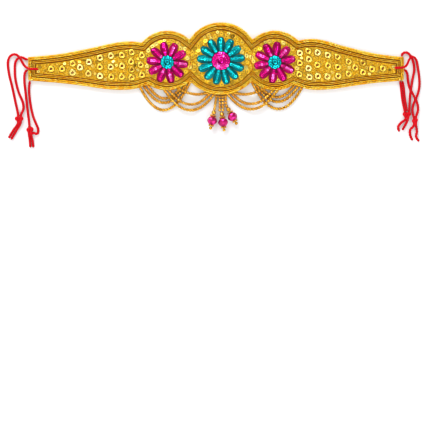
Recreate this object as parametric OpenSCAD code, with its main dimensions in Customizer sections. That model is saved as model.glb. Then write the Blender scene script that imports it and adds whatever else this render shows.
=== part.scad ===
// Oddiyanam waist belt: a stiffened cloth front with three medallions and two wings,
// edged with two braids, worked with sequin flowers, hung with strings of beads and
// three crystal drops, and tied behind with red cords. It lies on its flat back.

/* [Medallions] */
// Height of the middle medallion's top edge above the flower's centre
centre_top = 41.3; // [38:0.1:46]
// Radius of the middle medallion's top arc
centre_top_r = 40.5; // [39:0.1:46]
// Depth of the middle medallion's bottom edge below the flower's centre
centre_bottom = 36.4; // [34:0.1:40]
// Radius of the middle medallion's bottom arc
centre_bottom_r = 45; // [42:0.1:50]
// Distance from the middle flower to each side flower
side_x = 57.2; // [55:0.1:60]
// Height of the side medallions' top edge
side_top = 32.4; // [30:0.1:35]
// Radius of the side medallions' top arc
side_top_r = 35.2; // [34:0.1:38]
// Depth of the side medallions' bottom edge
side_bottom = 31.7; // [31.5:0.1:34]
// Radius of the side medallions' bottom arc
side_bottom_r = 36; // [34.5:0.1:39]
// How far the side flowers sit below the middle one
side_flower_drop = 1.6; // [0:0.1:1.8]

/* [Wings] */
// Distance from the middle to where the wings start under the side medallions
wing_root_x = 75; // [73:0.1:77]
// Length of the left wing from its root
left_wing_l = 130.4; // [110:0.1:150]
// Length of the right wing from its root
right_wing_l = 119.7; // [105:0.1:150]
// Height of the left wing's top edge at its shoulder
left_shoulder = 21.3; // [20:0.1:25]
// Height of the right wing's top edge at its shoulder
right_shoulder = 24; // [20:0.1:25]
// Height of the wings' top edge at the tips
tip_top = 4.2; // [2:0.1:7]
// Depth of the wings' bottom edge at its shoulder
wing_bottom = 31; // [29:0.1:33]
// Depth of the wings' bottom edge at the tips
tip_bottom = 20.8; // [18:0.1:23]

/* [Cloth and braids] */
// Thickness of the stiffened cloth at its edge
panel_t = 2.4; // [1.6:0.1:3]
// How far the middle of the face is padded up
crown_h = 0.9; // [0:0.1:1.6]
// How much of that padding the seams between medallions press down
seam_dip = 0.6; // [0:0.05:0.9]
// Half width of the dip at a seam
seam_w = 2.6; // [1.5:0.1:4]
// Width of the rope-like outer braid
outer_braid_w = 3.6; // [3:0.1:3.8]
// Width of the herringbone inner braid
inner_braid_w = 3.4; // [2.8:0.1:3.6]
// Height of the outer braid above the cloth
outer_braid_h = 2.3; // [1.5:0.1:2.8]
// Height of the inner braid above the cloth
inner_braid_h = 2; // [1.2:0.1:2.6]
// Space between the two braids
braid_gap = 0.25; // [0.2:0.05:0.4]

/* [Flowers] */
// Petals of each side flower
side_petals = 10; // [8:1:12]
// Petals of the middle flower
centre_petals = 13; // [10:1:14]
// Radius of the side flowers to the petal ends
side_flower_r = 22.4; // [20:0.1:22.6]
// Radius of the middle flower to the petal ends
centre_flower_r = 25.8; // [23:0.1:27]
// Radius of the side flowers' round boss
side_boss_r = 7; // [6:0.1:8]
// Radius of the middle flower's round boss
centre_boss_r = 9.8; // [9:0.1:11]
// Height of a boss above the cloth
boss_h = 3.2; // [2:0.1:4]
// Widest part of a petal
petal_w = 8.5; // [6:0.1:9]
// Height of a petal above the cloth
petal_h = 2.3; // [1.5:0.1:3]
// Direction of one petal of the left flower, in degrees
left_turn = 102; // [80:0.5:120]
// Direction of one petal of the middle flower, in degrees
centre_turn = 91; // [80:0.5:110]
// Direction of one petal of the right flower, in degrees
right_turn = 82.5; // [60:0.5:100]

/* [Wing sequins] */
// Diameter of the large sequins on the wings
sequin_d = 7; // [5.5:0.1:7.4]
// Hole in a large sequin
sequin_hole_d = 2.4; // [1.5:0.1:3]
// Height of its raised rim
sequin_t = 0.8; // [0.5:0.1:1.2]
// How far the hand-sewn sequins stray from their places
sequin_stray = 0.7; // [0:0.1:0.9]

/* [Strings of beads] */
// Diameter of a string bead
bead_d = 2.9; // [2.6:0.05:3]
// Bore of every bead
bore_d = 1.15; // [1.1:0.05:1.3]
// Diameter of the thread
thread_d = 0.4; // [0.3:0.02:0.44]
// Least space between neighbouring beads
bead_gap = 0.13; // [0.12:0.01:0.4]

/* [Drops] */
// Diameter of the large bead over each crystal
large_bead_d = 5; // [4.4:0.1:5.4]
// Diameter of the faceted crystals
crystal_d = 10.4; // [9:0.1:10.6]
// Length of a crystal along its bore
crystal_l = 9; // [8:0.1:10]
// Flat sides round a crystal
crystal_sides = 8; // [8:1:12]
// Ring diameter of the upper beaded spacers, through the balls' centres
upper_ring_d = 5.1; // [4.6:0.1:5.4]
// Ring diameter of the lower beaded spacers
lower_ring_d = 4.3; // [4:0.1:4.8]
// Diameter of a spacer's balls
ball_d = 1.6; // [1.4:0.05:1.7]
// Diameter of the bead that ends each drop
end_bead_d = 3.4; // [3:0.1:3.8]

/* [Tie cords] */
// Diameter of one strand
cord_d = 2; // [1.8:0.05:2]
// Height of a knot as it lies
knot_h = 5.4; // [5:0.1:6]

/* [Hidden] */
SWAGS = ["left_swag_1", "left_swag_2", "left_swag_3", "centre_left_swag_1",
    "centre_left_swag_2", "centre_left_swag_3", "centre_right_swag_1",
    "centre_right_swag_2", "centre_right_swag_3", "right_swag_1", "right_swag_2",
    "right_swag_3"];
DROPS = ["left", "centre", "right"];
CORDS = ["left_cord_a1", "left_cord_a2", "left_cord_b1", "left_cord_b2",
    "right_cord_c1", "right_cord_c2", "right_cord_d1", "right_cord_d2"];
KNOTS = ["left_knot_a", "left_knot_b", "right_knot_c", "right_knot_d"];

gold = [0.86, 0.62, 0.12];
dark_gold = [0.72, 0.45, 0.08];
magenta = [0.8, 0.02, 0.48];
teal = [0.0, 0.62, 0.66];
red = [0.85, 0.05, 0.1];

seat_gap = 0.12;            // what sewn-on pieces keep from the cloth
thread_inset = 0.2;         // how far in from the edge line a thread is sewn
braid_edge = 0.1;           // the outer braid's outer edge, in from the edge line
panel_inset = 0.4;          // the cloth stops just under the outer braid
outer_inset = braid_edge + outer_braid_w/2;
inner_inset = braid_edge + outer_braid_w + braid_gap + inner_braid_w/2;
band = inner_inset + inner_braid_w/2 + 3*braid_gap; // the padding starts inside this
smoothing = 0.045;          // a wing's edge is averaged this far, as a share of its length
root_reach = 8;             // how far inside its root a wing's edge still counts
tip_corner = 1.2;           // cut off a braid's corners at the tips
tip_ease = 14;              // the padding fades out over this length at the tips
halvings = 18;              // steps of finding a cusp
samples = 64;               // points of measuring a string
station_step = 5.5;         // most distance between the cloth's cross sections
ball_gap = 0.08;            // what a spacer's neighbouring balls keep from each other
over_braid = panel_t + seat_gap + outer_braid_h + cord_d/2 + 0.25; // a cord over a braid
on_face = panel_t + cord_d/2 + 0.6; // and where it comes out of the face
tip_low = -tip_bottom - 0.5; // where cords leave the tips' bottom edge
tip_high = tip_top + 0.7;    // and their top edge
bead_r = bead_d/2;
bead_pitch = bead_d + bead_gap;
edge_space = bead_r + 0.12; // a string's end bead hangs this far below the edge
floor_z = bead_r;           // height of a bead's centre as it lies
over_z = floor_z + bead_d + 0.16; // and where it lies on another string

// A wing's edges. Columns: place along the wing as a share of its length, then the
// height of the top edge and the depth of the bottom edge, as shares of the way from
// their values at the tip to those at the shoulder.
wing_rows = [
    [0.00, 0.76, 0.35],
    [0.05, 0.88, 0.60],
    [0.10, 0.955, 0.84],
    [0.17, 1.00, 1.00],
    [0.25, 0.955, 1.00],
    [0.35, 0.81, 0.95],
    [0.45, 0.615, 0.77],
    [0.56, 0.45, 0.56],
    [0.67, 0.28, 0.38],
    [0.78, 0.15, 0.23],
    [0.89, 0.07, 0.13],
    [1.00, 0.00, 0.00]];

// Large sequins on a wing. Columns: place along the wing as a share, number across.
sequin_rows = [[0.075, 3], [0.155, 4], [0.235, 3], [0.32, 3], [0.415, 3],
    [0.505, 2], [0.57, 1], [0.635, 2], [0.72, 1], [0.81, 1]];

// A petal from its inner to its outer end. Columns: place along it, width and height,
// each as a share of the petal's own.
petal_rows = [[0, 0.45, 0.8], [0.15, 0.66, 0.92], [0.35, 0.9, 1], [0.6, 1, 1],
    [0.8, 0.86, 0.86], [0.93, 0.55, 0.55], [1, 0.14, 0.18]];

// Where each string of beads is sewn, in the order of SWAGS. Columns: distance of its
// outer and inner end from the middle, sag, 1 where it lies over the other group,
// 1 where it is a plain tube, and its side.
swag_rows = [
    [76.8, 45.6, 10.3, 0, 0, -1],
    [81.0, 39.9, 15.9, 0, 0, -1],
    [85.2, 34.4, 24.7, 0, 0, -1],
    [43.5, 17.4, 2.6, 1, 0, -1],
    [53.8, 13.2, 11.8, 1, 1, -1],
    [58.5, 8.8, 17.3, 1, 1, -1],
    [43.5, 17.4, 2.6, 1, 0, 1],
    [53.8, 13.2, 11.2, 1, 1, 1],
    [58.5, 8.8, 16.2, 1, 1, 1],
    [76.8, 46.0, 8.9, 0, 0, 1],
    [81.0, 40.0, 14.7, 0, 0, 1],
    [85.2, 34.2, 23.4, 0, 0, 1]];
ramp_in = 24;  // inside this distance from the middle the upper group is on the floor
ramp_out = 33; // and outside this one it lies over the other group

// The drops' strings, chosen by hand. For each string: where along the edge it is sewn,
// and its bend. Here and in drop_heads y is measured from the lowest point of the edge.
drop_strings = [[[-4.9, [-6, -8.1, 2.8]]],
    [[-1.6, [-1.3, -8.6, 2.8]], [1.6, [2, -8.6, 2.8]]],
    [[4.9, [5.1, -8.6, 3.5]]]];
drop_heads = [[-7.7, -18.6, 4.6], [0.9, -20.4, 4.6], [7.9, -15.4, 4.6]]; // large beads
// Which way each drop points from its large bead on, in degrees from straight down
drop_turn = [-11.5, 8, 29.5];
drop_rise = 0.075; // and how much it climbs to the crystal, which lies on its widest part
strand_part = 1.7; // half the distance between two strands where they meet a large bead

// Routes of the cords, chosen by hand: first to the knot, then the tail past it. Here
// and in knot_rows x is measured out from the wing's tip.
cord_routes = [
    [[[-11.2, -8.9, on_face], [-7.4, -8.9, over_braid], [-1.4, -8.4, over_braid],
        [3.6, -5, 4.2], [7.6, 1.5, 3.3], [12.6, 6.8, 3.2], [18.1, 6, 1.8], [21.4, 0, 1.1],
        [20.6, -12, 1.1], [17.1, -27, 1.1], [13.6, -43, 1.1], [10.4, -58.4, 2.6]],
     [[10.6, -66.3, 2.4], [15.6, -73.5, 1.1], [20.6, -82, 1.1]]],
    [[[0.1, 1.6, 1.2], [2.4, 2, 1.1], [6.1, 3.8, 1.1], [10.2, 3.2, 1.1], [13.4, -1, 1.1],
        [14.2, -10, 1.1], [13.2, -21, 1.1], [9.8, -34, 1.1], [5.6, -44, 1.1],
        [5, -51, 1.3], [7.8, -58.3, 2.6]],
     [[8.2, -66.3, 2.4], [13.2, -75, 1.1], [18, -83.5, 1.1]]],
    [[[0.2, -9.4, 1.2], [1.8, -10.2, 1.1], [3.5, -13, 1.1], [3.9, -22, 1.1],
        [2.6, -34, 1.1], [0.6, -52, 1.1], [-1.6, -69.7, 2.6]],
     [[-1.1, -78.4, 2.4], [-1.9, -84, 1.1], [-2.4, -92, 1.1]]],
    [[[-1.8, tip_low, 1.2], [-1, -30, 1.1], [-2.2, -44, 1.1], [-5.4, -59, 1.1],
        [-8.6, -67, 1.1], [-10.8, -73, 1.3], [-9.5, -77.6, 1.8], [-6, -76.6, 2.4]],
     [[-3.5, -78.4, 2.4], [-4.6, -84, 1.1], [-5.6, -92, 1.1]]],
    [[[-3.9, tip_low, 1.2], [-2.9, -28, 1.1], [-1.5, -41, 1.1], [0.9, -53.6, 2.6]],
     [[1.6, -61.9, 2.4], [-3.2, -66, 1.1], [-6.1, -70.5, 1.1], [-4.9, -75, 1.1]],
     [[-1.5, tip_low, 1.2], [-0.3, -28, 1.1], [1.1, -41, 1.1], [3.2, -53.6, 2.6]]],
    [[[-2.4, tip_high, 1.2], [-0.7, 8.4, 1.1], [3.8, 8.8, 1.1], [7.7, 4.5, 1.1],
        [10.3, -2, 1.1], [11.1, -9, 1.1], [8.8, -22, 1.1], [6.7, -37, 1.1],
        [5.5, -53.7, 2.6]],
     [[4.2, -61.6, 2.4], [2.3, -66.5, 1.1], [-1.5, -73.5, 1.1]]],
    [[[-10, -7.4, on_face], [-6.2, -7.4, over_braid], [-0.5, -7.2, over_braid],
        [3.3, -3.8, 4.7], [5.3, 1, 3.6], [8.8, 4.3, 3.3], [12.9, 1.5, 2], [14.7, -6, 1.1],
        [16.7, -24, 1.1], [14.9, -35, 1.1], [9.7, -48, 1.1], [9.3, -55, 1.2],
        [10.6, -60.2, 2.4]],
     [[10.5, -68.6, 2.2], [6.9, -73, 1.1], [6.7, -78.5, 1.1], [9.1, -84.5, 1.1]]],
    [[[0.2, -9.3, 1.2], [1.9, -10.2, 1.1], [3.6, -13.2, 1.1], [4.3, -20, 1.4],
        [5.9, -28.5, 3.2], [10.3, -37, 3.3], [13.5, -43.5, 3.3], [15.1, -52, 1.3],
        [12.8, -60.3, 2.4]],
     [[12.9, -68.6, 2.2], [13.9, -75, 1.1], [13.1, -80.5, 1.1], [16.1, -85.5, 1.1]]]];

// Knots, in the order of KNOTS. Columns: centre x, y, width and length.
knot_rows = [[9.2, -62.2, 8.4, 6.8], [-2.3, -74, 6.6, 8],
    [3.2, -57.5, 8.2, 7], [11.7, -64.4, 5.4, 7.6]];
// A knot along its length. Columns: place and width, as shares of half its own.
knot_profile = [[-1, 0.6], [-0.72, 0.88], [-0.3, 1], [0.3, 1], [0.72, 0.88], [1, 0.6]];

function unit(v) = v/norm(v);
function mix(a, b, t) = a + (b - a)*t;
function ease(t) = let (c = min(max(t, 0), 1)) c*c*(3 - 2*c);
function bell(d) = exp(-(d/seam_w)*(d/seam_w));
function spread(a, b, n) = [for (i = [0:n - 1]) mix(a, b, i/n)];
function column(rows, c) = [for (r = rows) [r[0], r[c]]];
function follow(rows, c, t) = lookup(t, column(rows, c));

// Each edge is measured outwards from the middle line: edge 1 is the top and edge 2 the
// bottom, side -1 the left and 1 the right, u the distance from the middle.
function wing_l(side) = side < 0 ? left_wing_l : right_wing_l;
function tip_u(side) = wing_root_x + wing_l(side);
function wing_reach(e, side, u) =
    let (t = (u - wing_root_x)/wing_l(side), h = smoothing,
        s = (follow(wing_rows, e, t - h) + 2*follow(wing_rows, e, t)
            + follow(wing_rows, e, t + h))/4)
    e == 1 ? mix(tip_top, side < 0 ? left_shoulder : right_shoulder, s)
           : mix(tip_bottom, wing_bottom, s);
function wing_slope(e, side, u) =
    (wing_reach(e, side, u + 1) - wing_reach(e, side, u - 1))/2;
function arc_r(e, k) = e == 1 ? [centre_top_r, side_top_r][k]
                              : [centre_bottom_r, side_bottom_r][k];
function arc_top(e, k) = e == 1 ? [centre_top, side_top][k]
                                : [centre_bottom, side_bottom][k];
function arc_x(k) = k*side_x;
// Reach of piece k (0 middle arc, 1 side arc, 2 wing), drawn in by d from the edge line
function piece(e, side, k, u, d) =
    k == 2 ? wing_reach(e, side, u) - d*sqrt(1 + pow(wing_slope(e, side, u), 2))
    : let (r = arc_r(e, k) - d, x = u - arc_x(k))
      arc_top(e, k) - arc_r(e, k) + sqrt(max(0, r*r - x*x));
function edge(e, side, u, d) = max(
    u < arc_r(e, 0) - d ? piece(e, side, 0, u, d) : -99,
    abs(u - side_x) < arc_r(e, 1) - d ? piece(e, side, 1, u, d) : -99,
    u > wing_root_x - root_reach ? piece(e, side, 2, u, d) : -99);
// Where piece k meets the next one out, by halving
function meet(e, side, k, d, lo, hi, n) = let (m = (lo + hi)/2) n == 0 ? m
    : piece(e, side, k, m, d) > piece(e, side, k + 1, m, d)
        ? meet(e, side, k, d, m, hi, n - 1) : meet(e, side, k, d, lo, m, n - 1);
function cusp(e, side, k, d) = k == 0
    ? meet(e, side, 0, d, side_x - arc_r(e, 1) + d, arc_r(e, 0) - d, halvings)
    : meet(e, side, 1, d, side_x, side_x + arc_r(e, 1) - d, halvings);
function top_y(x, d) = edge(1, sign(x), abs(x), d);
function low_y(x, d) = -edge(2, sign(x), abs(x), d);

// Height of the padded face
function swell(x) = let (u = abs(x), s = x < 0 ? -1 : 1)
    crown_h*(1 - seam_dip*(bell(u - cusp(1, s, 0, 0)) + bell(u - cusp(1, s, 1, 0))))
    *ease((tip_u(s) - band - u)/tip_ease);
function face_z(x, y) = let (t = top_y(x, band), b = low_y(x, band),
    v = (y - (t + b)/2)/((t - b)/2)) panel_t + swell(x)*max(0, 1 - v*v);

// Half an edge from the middle to the tip, as [u, reach], at equal angles on the arcs
function arc_steps(e, side, k, d, u0, u1, n) = let (r = arc_r(e, k) - d,
        a0 = asin((u0 - arc_x(k))/r), a1 = asin((u1 - arc_x(k))/r))
    [for (a = spread(a0, a1, n)) let (u = arc_x(k) + r*sin(a)) [u, piece(e, side, k, u, d)]];
function half_edge(e, side, d) =
    let (c0 = cusp(e, side, 0, d), c1 = cusp(e, side, 1, d), end = tip_u(side) - d)
    concat(arc_steps(e, side, 0, d, 0, c0, 6), arc_steps(e, side, 1, d, c0, c1, 9),
        [for (u = spread(c1, end - 1.25*tip_corner, 10)) [u, piece(e, side, 2, u, d)]],
        [[end - tip_corner, edge(e, side, end, d)],
            [end, edge(e, side, end, d) - tip_corner]]);
function placed(pts, e, side) = [for (p = pts) [side*p[0], e == 1 ? p[1] : -p[1]]];
function backwards(v) = [for (i = [len(v) - 1:-1:0]) v[i]];
function loop_path(d) = concat(
    placed(half_edge(1, 1, d), 1, 1),
    backwards(placed(half_edge(2, 1, d), 2, 1)),
    [for (i = [1:len(half_edge(2, -1, d)) - 1]) placed(half_edge(2, -1, d), 2, -1)[i]],
    let (b = backwards(placed(half_edge(1, -1, d), 1, -1))) [for (i = [0:len(b) - 2]) b[i]]);

// A skin over rings of equal length, closed round or capped at both ends
module skin(rings, closed = false) {
    n = len(rings[0]);
    m = len(rings);
    points = [for (r = rings) each r];
    sides = [for (i = [0:closed ? m - 1 : m - 2], j = [0:n - 1])
        let (a = i*n + j, b = i*n + (j + 1)%n,
            c = ((i + 1)%m)*n + (j + 1)%n, d = ((i + 1)%m)*n + j)
        each [[a, b, c], [a, c, d]]];
    caps = closed ? [] : [[for (j = [n - 1:-1:0]) j], [for (j = [0:n - 1]) (m - 1)*n + j]];
    polyhedron(points, concat(sides, caps));
}

module tube(pts, r, sides) {
    last = len(pts) - 1;
    skin([for (i = [0:last])
        let (t = unit(pts[min(i + 1, last)] - pts[max(i - 1, 0)]),
            a = unit(cross([0, 0, 1], t)), b = cross(t, a))
        [for (k = [0:sides - 1]) pts[i] + r*(cos(k*360/sides)*a - sin(k*360/sides)*b)]]);
}

// Places children with their own z axis along dir
module aim(at, dir) {
    translate(at)
        rotate([0, acos(dir[2]/norm(dir)), atan2(dir[1], dir[0])]) children();
}

module bead(at, dir, d) {
    aim(at, dir) difference() {
        sphere(d = d, $fn = 32);
        cylinder(d = bore_d, h = 2*d, center = true, $fn = 20);
    }
}

// The panel and the braids

function stations(side) =
    let (a = cusp(1, side, 0, 0), b = cusp(2, side, 0, 0), c = cusp(2, side, 1, 0),
        d = cusp(1, side, 1, 0), end = tip_u(side) - panel_inset,
        stops = [0, min(a, b), max(a, b), min(c, d), max(c, d), end])
    concat([for (i = [0:4]) each spread(stops[i], stops[i + 1],
        ceil((stops[i + 1] - stops[i])/station_step))], [end]);

module belt_panel() {
    left = backwards(stations(-1));
    xs = concat([for (u = left) -u], [for (i = [1:len(stations(1)) - 1]) stations(1)[i]]);
    color(gold) skin([for (x = xs)
        let (t = top_y(x, panel_inset), b = low_y(x, panel_inset),
            ti = top_y(x, band), bi = low_y(x, band))
        concat([[x, b, 0], [x, b, panel_t]],
            [for (v = [-1:1/3:1.01]) let (y = mix(bi, ti, (v + 1)/2)) [x, y, face_z(x, y)]],
            [[x, t, panel_t], [x, t, 0]])]);
}

// Half of a braid's rounded section. Columns: out from its middle, height, as shares.
braid_rows = [[1, 0], [1, 0.5], [0.72, 0.88], [0, 1], [-0.72, 0.88], [-1, 0.5], [-1, 0]];

module braid(inset, w, h) {
    path = loop_path(inset);
    n = len(path);
    skin([for (i = [0:n - 1])
        let (p = path[i], a = unit(p - path[(i + n - 1)%n]), b = unit(path[(i + 1)%n] - p),
            m = unit(a + b), out = [-m[1], m[0]]/max(0.5, m*a))
        [for (r = braid_rows)
            [p[0] + out[0]*r[0]*w/2, p[1] + out[1]*r[0]*w/2, panel_t + seat_gap + r[1]*h]]],
        closed = true);
}

module outer_braid() color(gold) braid(outer_inset, outer_braid_w, outer_braid_h);
module inner_braid() color(dark_gold) braid(inner_inset, inner_braid_w, inner_braid_h);

// The flowers

function flower_at(i) = [(i - 1)*side_x, i == 1 ? 0 : -side_flower_drop];
function flower_r(i) = i == 1 ? centre_flower_r : side_flower_r;
function boss_r(i) = i == 1 ? centre_boss_r : side_boss_r;
function petals(i) = i == 1 ? centre_petals : side_petals;
petal_arch = [[-1, 0], [-0.84, 0.6], [-0.36, 0.96], [0.36, 0.96], [0.84, 0.6], [1, 0]];

module petal(at, turn, r0, r1, n) {
    dir = [cos(turn), sin(turn)];
    cross_dir = [-sin(turn), cos(turn)];
    skin([for (row = petal_rows)
        let (r = mix(r0, r1, row[0]),
            w = min(row[1]*petal_w/2, r*tan(180/n) - seat_gap))
        [for (q = petal_arch)
            let (p = at + r*dir + q[0]*w*cross_dir,
                foot = at + r*dir + sign(q[0])*w*cross_dir,
                base = max(face_z(foot[0], foot[1]), face_z(p[0], p[1])))
            [p[0], p[1], base + 1.5*seat_gap + q[1]*row[2]*petal_h]]]);
}

module flower_petals(i) {
    n = petals(i);
    color(i == 1 ? teal : magenta)
        for (k = [0:n - 1])
            petal(flower_at(i), [left_turn, centre_turn, right_turn][i] + k*360/n, boss_r(i) + 2*seat_gap,
                flower_r(i), n);
}

module boss(i) {
    r = boss_r(i);
    at = flower_at(i);
    color(i == 1 ? magenta : teal)
        translate([at[0], at[1], face_z(at[0], at[1]) + seat_gap])
            rotate_extrude($fn = 48)
                polygon([[0, 0], [r, 0], [r, 0.3*boss_h], [0.82*r, 0.66*boss_h],
                    [0.5*r, 0.9*boss_h], [0, boss_h]]);
}

// The wings' large sequins

module sequin() {
    r = sequin_d/2;
    hole = sequin_hole_d/2;
    rotate_extrude($fn = 36)
        polygon([[hole, 0], [r, 0], [r, 0.6*sequin_t], [0.84*r, sequin_t],
            [hole, 0.6*sequin_t]]);
}

module wing_sequins(side) {
    stray = rands(-sequin_stray, sequin_stray, 80, 7 + side);
    color(gold) for (c = [0:len(sequin_rows) - 1])
        let (x = side*(wing_root_x + sequin_rows[c][0]*wing_l(side)), n = sequin_rows[c][1],
            t = top_y(x, band), b = low_y(x, band))
        for (k = [0:n - 1])
            let (px = x + stray[8*c + 2*k], py = mix(b, t, (k + 0.5)/n) + stray[8*c + 2*k + 1],
                rim = [for (a = [0:30:330]) face_z(px + sequin_d/2*cos(a), py + sequin_d/2*sin(a))])
            translate([px, py, max(rim) + seat_gap]) sequin();
}

// The strings of beads

function swag_z(over, u) = over ? mix(floor_z, over_z, ease((u - ramp_in)/(ramp_out - ramp_in)))
    : floor_z;
function swag_end(row, u) = [row[5]*u, low_y(row[5]*u, 0) - edge_space];
// A point of a string, for t from 0 at its outer end to 1 at its inner end
function swag_at(row, t) = let (a = swag_end(row, row[0]), b = swag_end(row, row[1]),
    p = mix(a, b, t)) [p[0], p[1] - 4*row[2]*t*(1 - t), swag_z(row[3], abs(p[0]))];
function running(v) = [for (i = 0, s = 0; i <= len(v); s = s + (i < len(v) ? v[i] : 0),
    i = i + 1) s];
// Length to share of the way, so that beads can be set out evenly
function swag_lengths(row) = let (n = samples, p = [for (i = [0:n]) swag_at(row, i/n)],
    s = running([for (i = [0:n - 1]) norm(p[i + 1] - p[i])]))
    [for (i = [0:n]) [s[i], i/n]];
function evenly(row, n) = let (s = swag_lengths(row), l = s[len(s) - 1][0])
    [for (i = [0:n]) swag_at(row, lookup(l*i/n, s))];
function swag_length(row) = let (s = swag_lengths(row)) s[len(s) - 1][0];
function swag_beads(row) = evenly(row, floor(swag_length(row)/bead_pitch));
// A thread leaves its string's first and last bead straight out of the bore, and each
// of its ends is sewn under the edge right over that point.
function mouth(b, next) = b + unit(b - next)*(bead_r + thread_d/2);
function last_mouth(b) = mouth(b[len(b) - 1], b[len(b) - 2]);
function sewn(p) = [p[0], low_y(p[0], thread_inset), p[2]];
function thread_start(b) = let (m = mouth(b[0], b[1])) [sewn(m), m];
function thread_end(b) = let (m = last_mouth(b)) [m, sewn(m)];

// Beads at b, each turned along its neighbours. The last one also minds the point next.
module string_of(b, next = []) {
    v = concat(b, next);
    for (i = [0:len(b) - 1])
        bead(b[i], v[min(i + 1, len(v) - 1)] - v[max(i - 1, 0)], bead_d);
}

module swag(i) {
    row = swag_rows[i];
    color(gold)
        if (row[4] == 1) tube(evenly(row, ceil(swag_length(row)/(2.5*bead_d))), bead_r, 8);
        else string_of(swag_beads(row));
}

module swag_threads(from, to) {
    color(red) for (i = [from:to])
        if (swag_rows[i][4] == 0) let (b = swag_beads(swag_rows[i]))
            tube(concat(thread_start(b), b, thread_end(b)), thread_d/2, 5);
}

// The drops

large_r = large_bead_d/2;
function drop_axis(i) = unit([sin(drop_turn[i]), -cos(drop_turn[i]), drop_rise]);
function hung(p) = [p[0], p[1] - centre_bottom, p[2]];
function drop_head(i) = hung(drop_heads[i]);
function drop_at(i, s) = drop_head(i) + s*drop_axis(i);
upper_ring_s = large_r + bead_gap + ball_d/2;
crystal_s = upper_ring_s + ball_d/2 + bead_gap + crystal_l/2;
lower_ring_s = crystal_s + crystal_l/2 + bead_gap + ball_d/2;
end_bead_s = lower_ring_s + ball_d/2 + bead_gap + end_bead_d/2;

large_mouth = large_r + thread_d/2 + 0.08; // a thread's end outside the large bead's bore
function drop_top(i, k) = drop_at(i, -large_mouth) + [(k - 0.5)*3*thread_d, 0, 0];
function route_at(pts, s) = let (l = [for (i = [0:len(pts) - 2]) norm(pts[i + 1] - pts[i])],
        total = running(l), i = max([for (j = [0:len(l) - 1]) if (total[j] <= s + 1e-6) j]))
    mix(pts[i], pts[i + 1], (s - total[i])/l[i]);
function route_length(pts) = let (t = running([for (i = [0:len(pts) - 2])
    norm(pts[i + 1] - pts[i])])) t[len(t) - 1];
function drop_string_beads(i, k) =
    let (r = drop_strings[i][k], n = len(drop_strings[i]),
        foot = large_r + bead_r + (n == 1 ? 1 : 5)*bead_gap,
        route = [[r[0], low_y(r[0], 0) - edge_space, floor_z], hung(r[1]),
            drop_at(i, -foot) + [n == 1 ? 0 : (2*k - 1)*strand_part, 0, 0]],
        l = route_length(route), m = floor(l/bead_pitch))
    [for (j = [0:m]) route_at(route, l*j/m)];

module drop_beads(i) {
    n = len(drop_strings[i]);
    color(gold) for (k = [0:n - 1])
        string_of(drop_string_beads(i, k), n == 1 ? [drop_head(i)] : []);
}

// One string's thread goes on to the end bead. Of two, each ends over the large bead,
// where a third takes over.
module drop_thread(i) {
    n = len(drop_strings[i]);
    foot = drop_at(i, end_bead_s);
    color(red) {
        for (k = [0:n - 1]) let (b = drop_string_beads(i, k))
            tube(concat(thread_start(b), b, n == 1 ? [foot] : [last_mouth(b), drop_top(i, k)]),
                thread_d/2, 5);
        if (n > 1) tube([drop_at(i, -large_mouth), foot], thread_d/2, 5);
    }
}

module large_bead(i) color(gold) bead(drop_head(i), drop_axis(i), large_bead_d);
module end_bead(i) color(gold) bead(drop_at(i, end_bead_s), drop_axis(i), end_bead_d);

// A spacer of balls round a flat ring
module ball_ring(i, s, ring_d) {
    n = floor(180/asin((ball_d + ball_gap)/ring_d));
    color(dark_gold) aim(drop_at(i, s), drop_axis(i)) union() {
        difference() {
            cylinder(d = ring_d, h = 0.6*ball_d, center = true, $fn = 36);
            cylinder(d = bore_d, h = 2*ball_d, center = true, $fn = 20);
        }
        for (k = [0:n - 1])
            rotate([0, 0, k*360/n]) translate([ring_d/2, 0, 0]) sphere(d = ball_d, $fn = 24);
    }
}

// Rings of a crystal's corners. Columns: radius, height and half steps turned.
function crystal_rings() = let (r = crystal_d/2, h = crystal_l/2)
    [[bore_d/2, -h, 0], [0.42*r, -h, 0], [0.85*r, -0.6*h, 1], [r, -0.17*h, 0],
     [r, 0.17*h, 0], [0.85*r, 0.6*h, 1], [0.42*r, h, 0], [bore_d/2, h, 0]];

module crystal(i) {
    rings = crystal_rings();
    n = crystal_sides;
    m = len(rings);
    points = [for (q = rings, j = [0:n - 1]) let (a = (j + q[2]/2)*360/n)
        [q[0]*cos(a), q[0]*sin(a), q[1]]];
    faces = [for (k = [0:m - 1], j = [0:n - 1])
        let (l = (k + 1)%m, a = k*n + j, b = k*n + (j + 1)%n, c = l*n + (j + 1)%n, d = l*n + j)
        each rings[l][2] < rings[k][2] ? [[a, c, b], [a, d, c]]
            : [[a, d, b], [b, d, c]]];
    color(magenta) aim(drop_at(i, crystal_s), drop_axis(i)) polyhedron(points, faces);
}

// The tie cords and their knots

function out_from_tip(side, u) = side*(tip_u(side) + u);

module cord(i) {
    side = i < 4 ? -1 : 1;
    color(red) for (stretch = cord_routes[i])
        tube([for (p = stretch) [out_from_tip(side, p[0]), p[1], p[2]]], cord_d/2, 8);
}

module knot(i) {
    row = knot_rows[i];
    x = out_from_tip(i < 2 ? -1 : 1, row[0]);
    color(red) skin([for (q = knot_profile)
        [for (k = [0:9]) let (a = k*36)
            [x - q[1]*cos(a)*row[2]/2, row[1] + q[0]*row[3]/2,
                knot_h/2 + seat_gap + q[1]*sin(a)*knot_h/2]]]);
}

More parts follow.
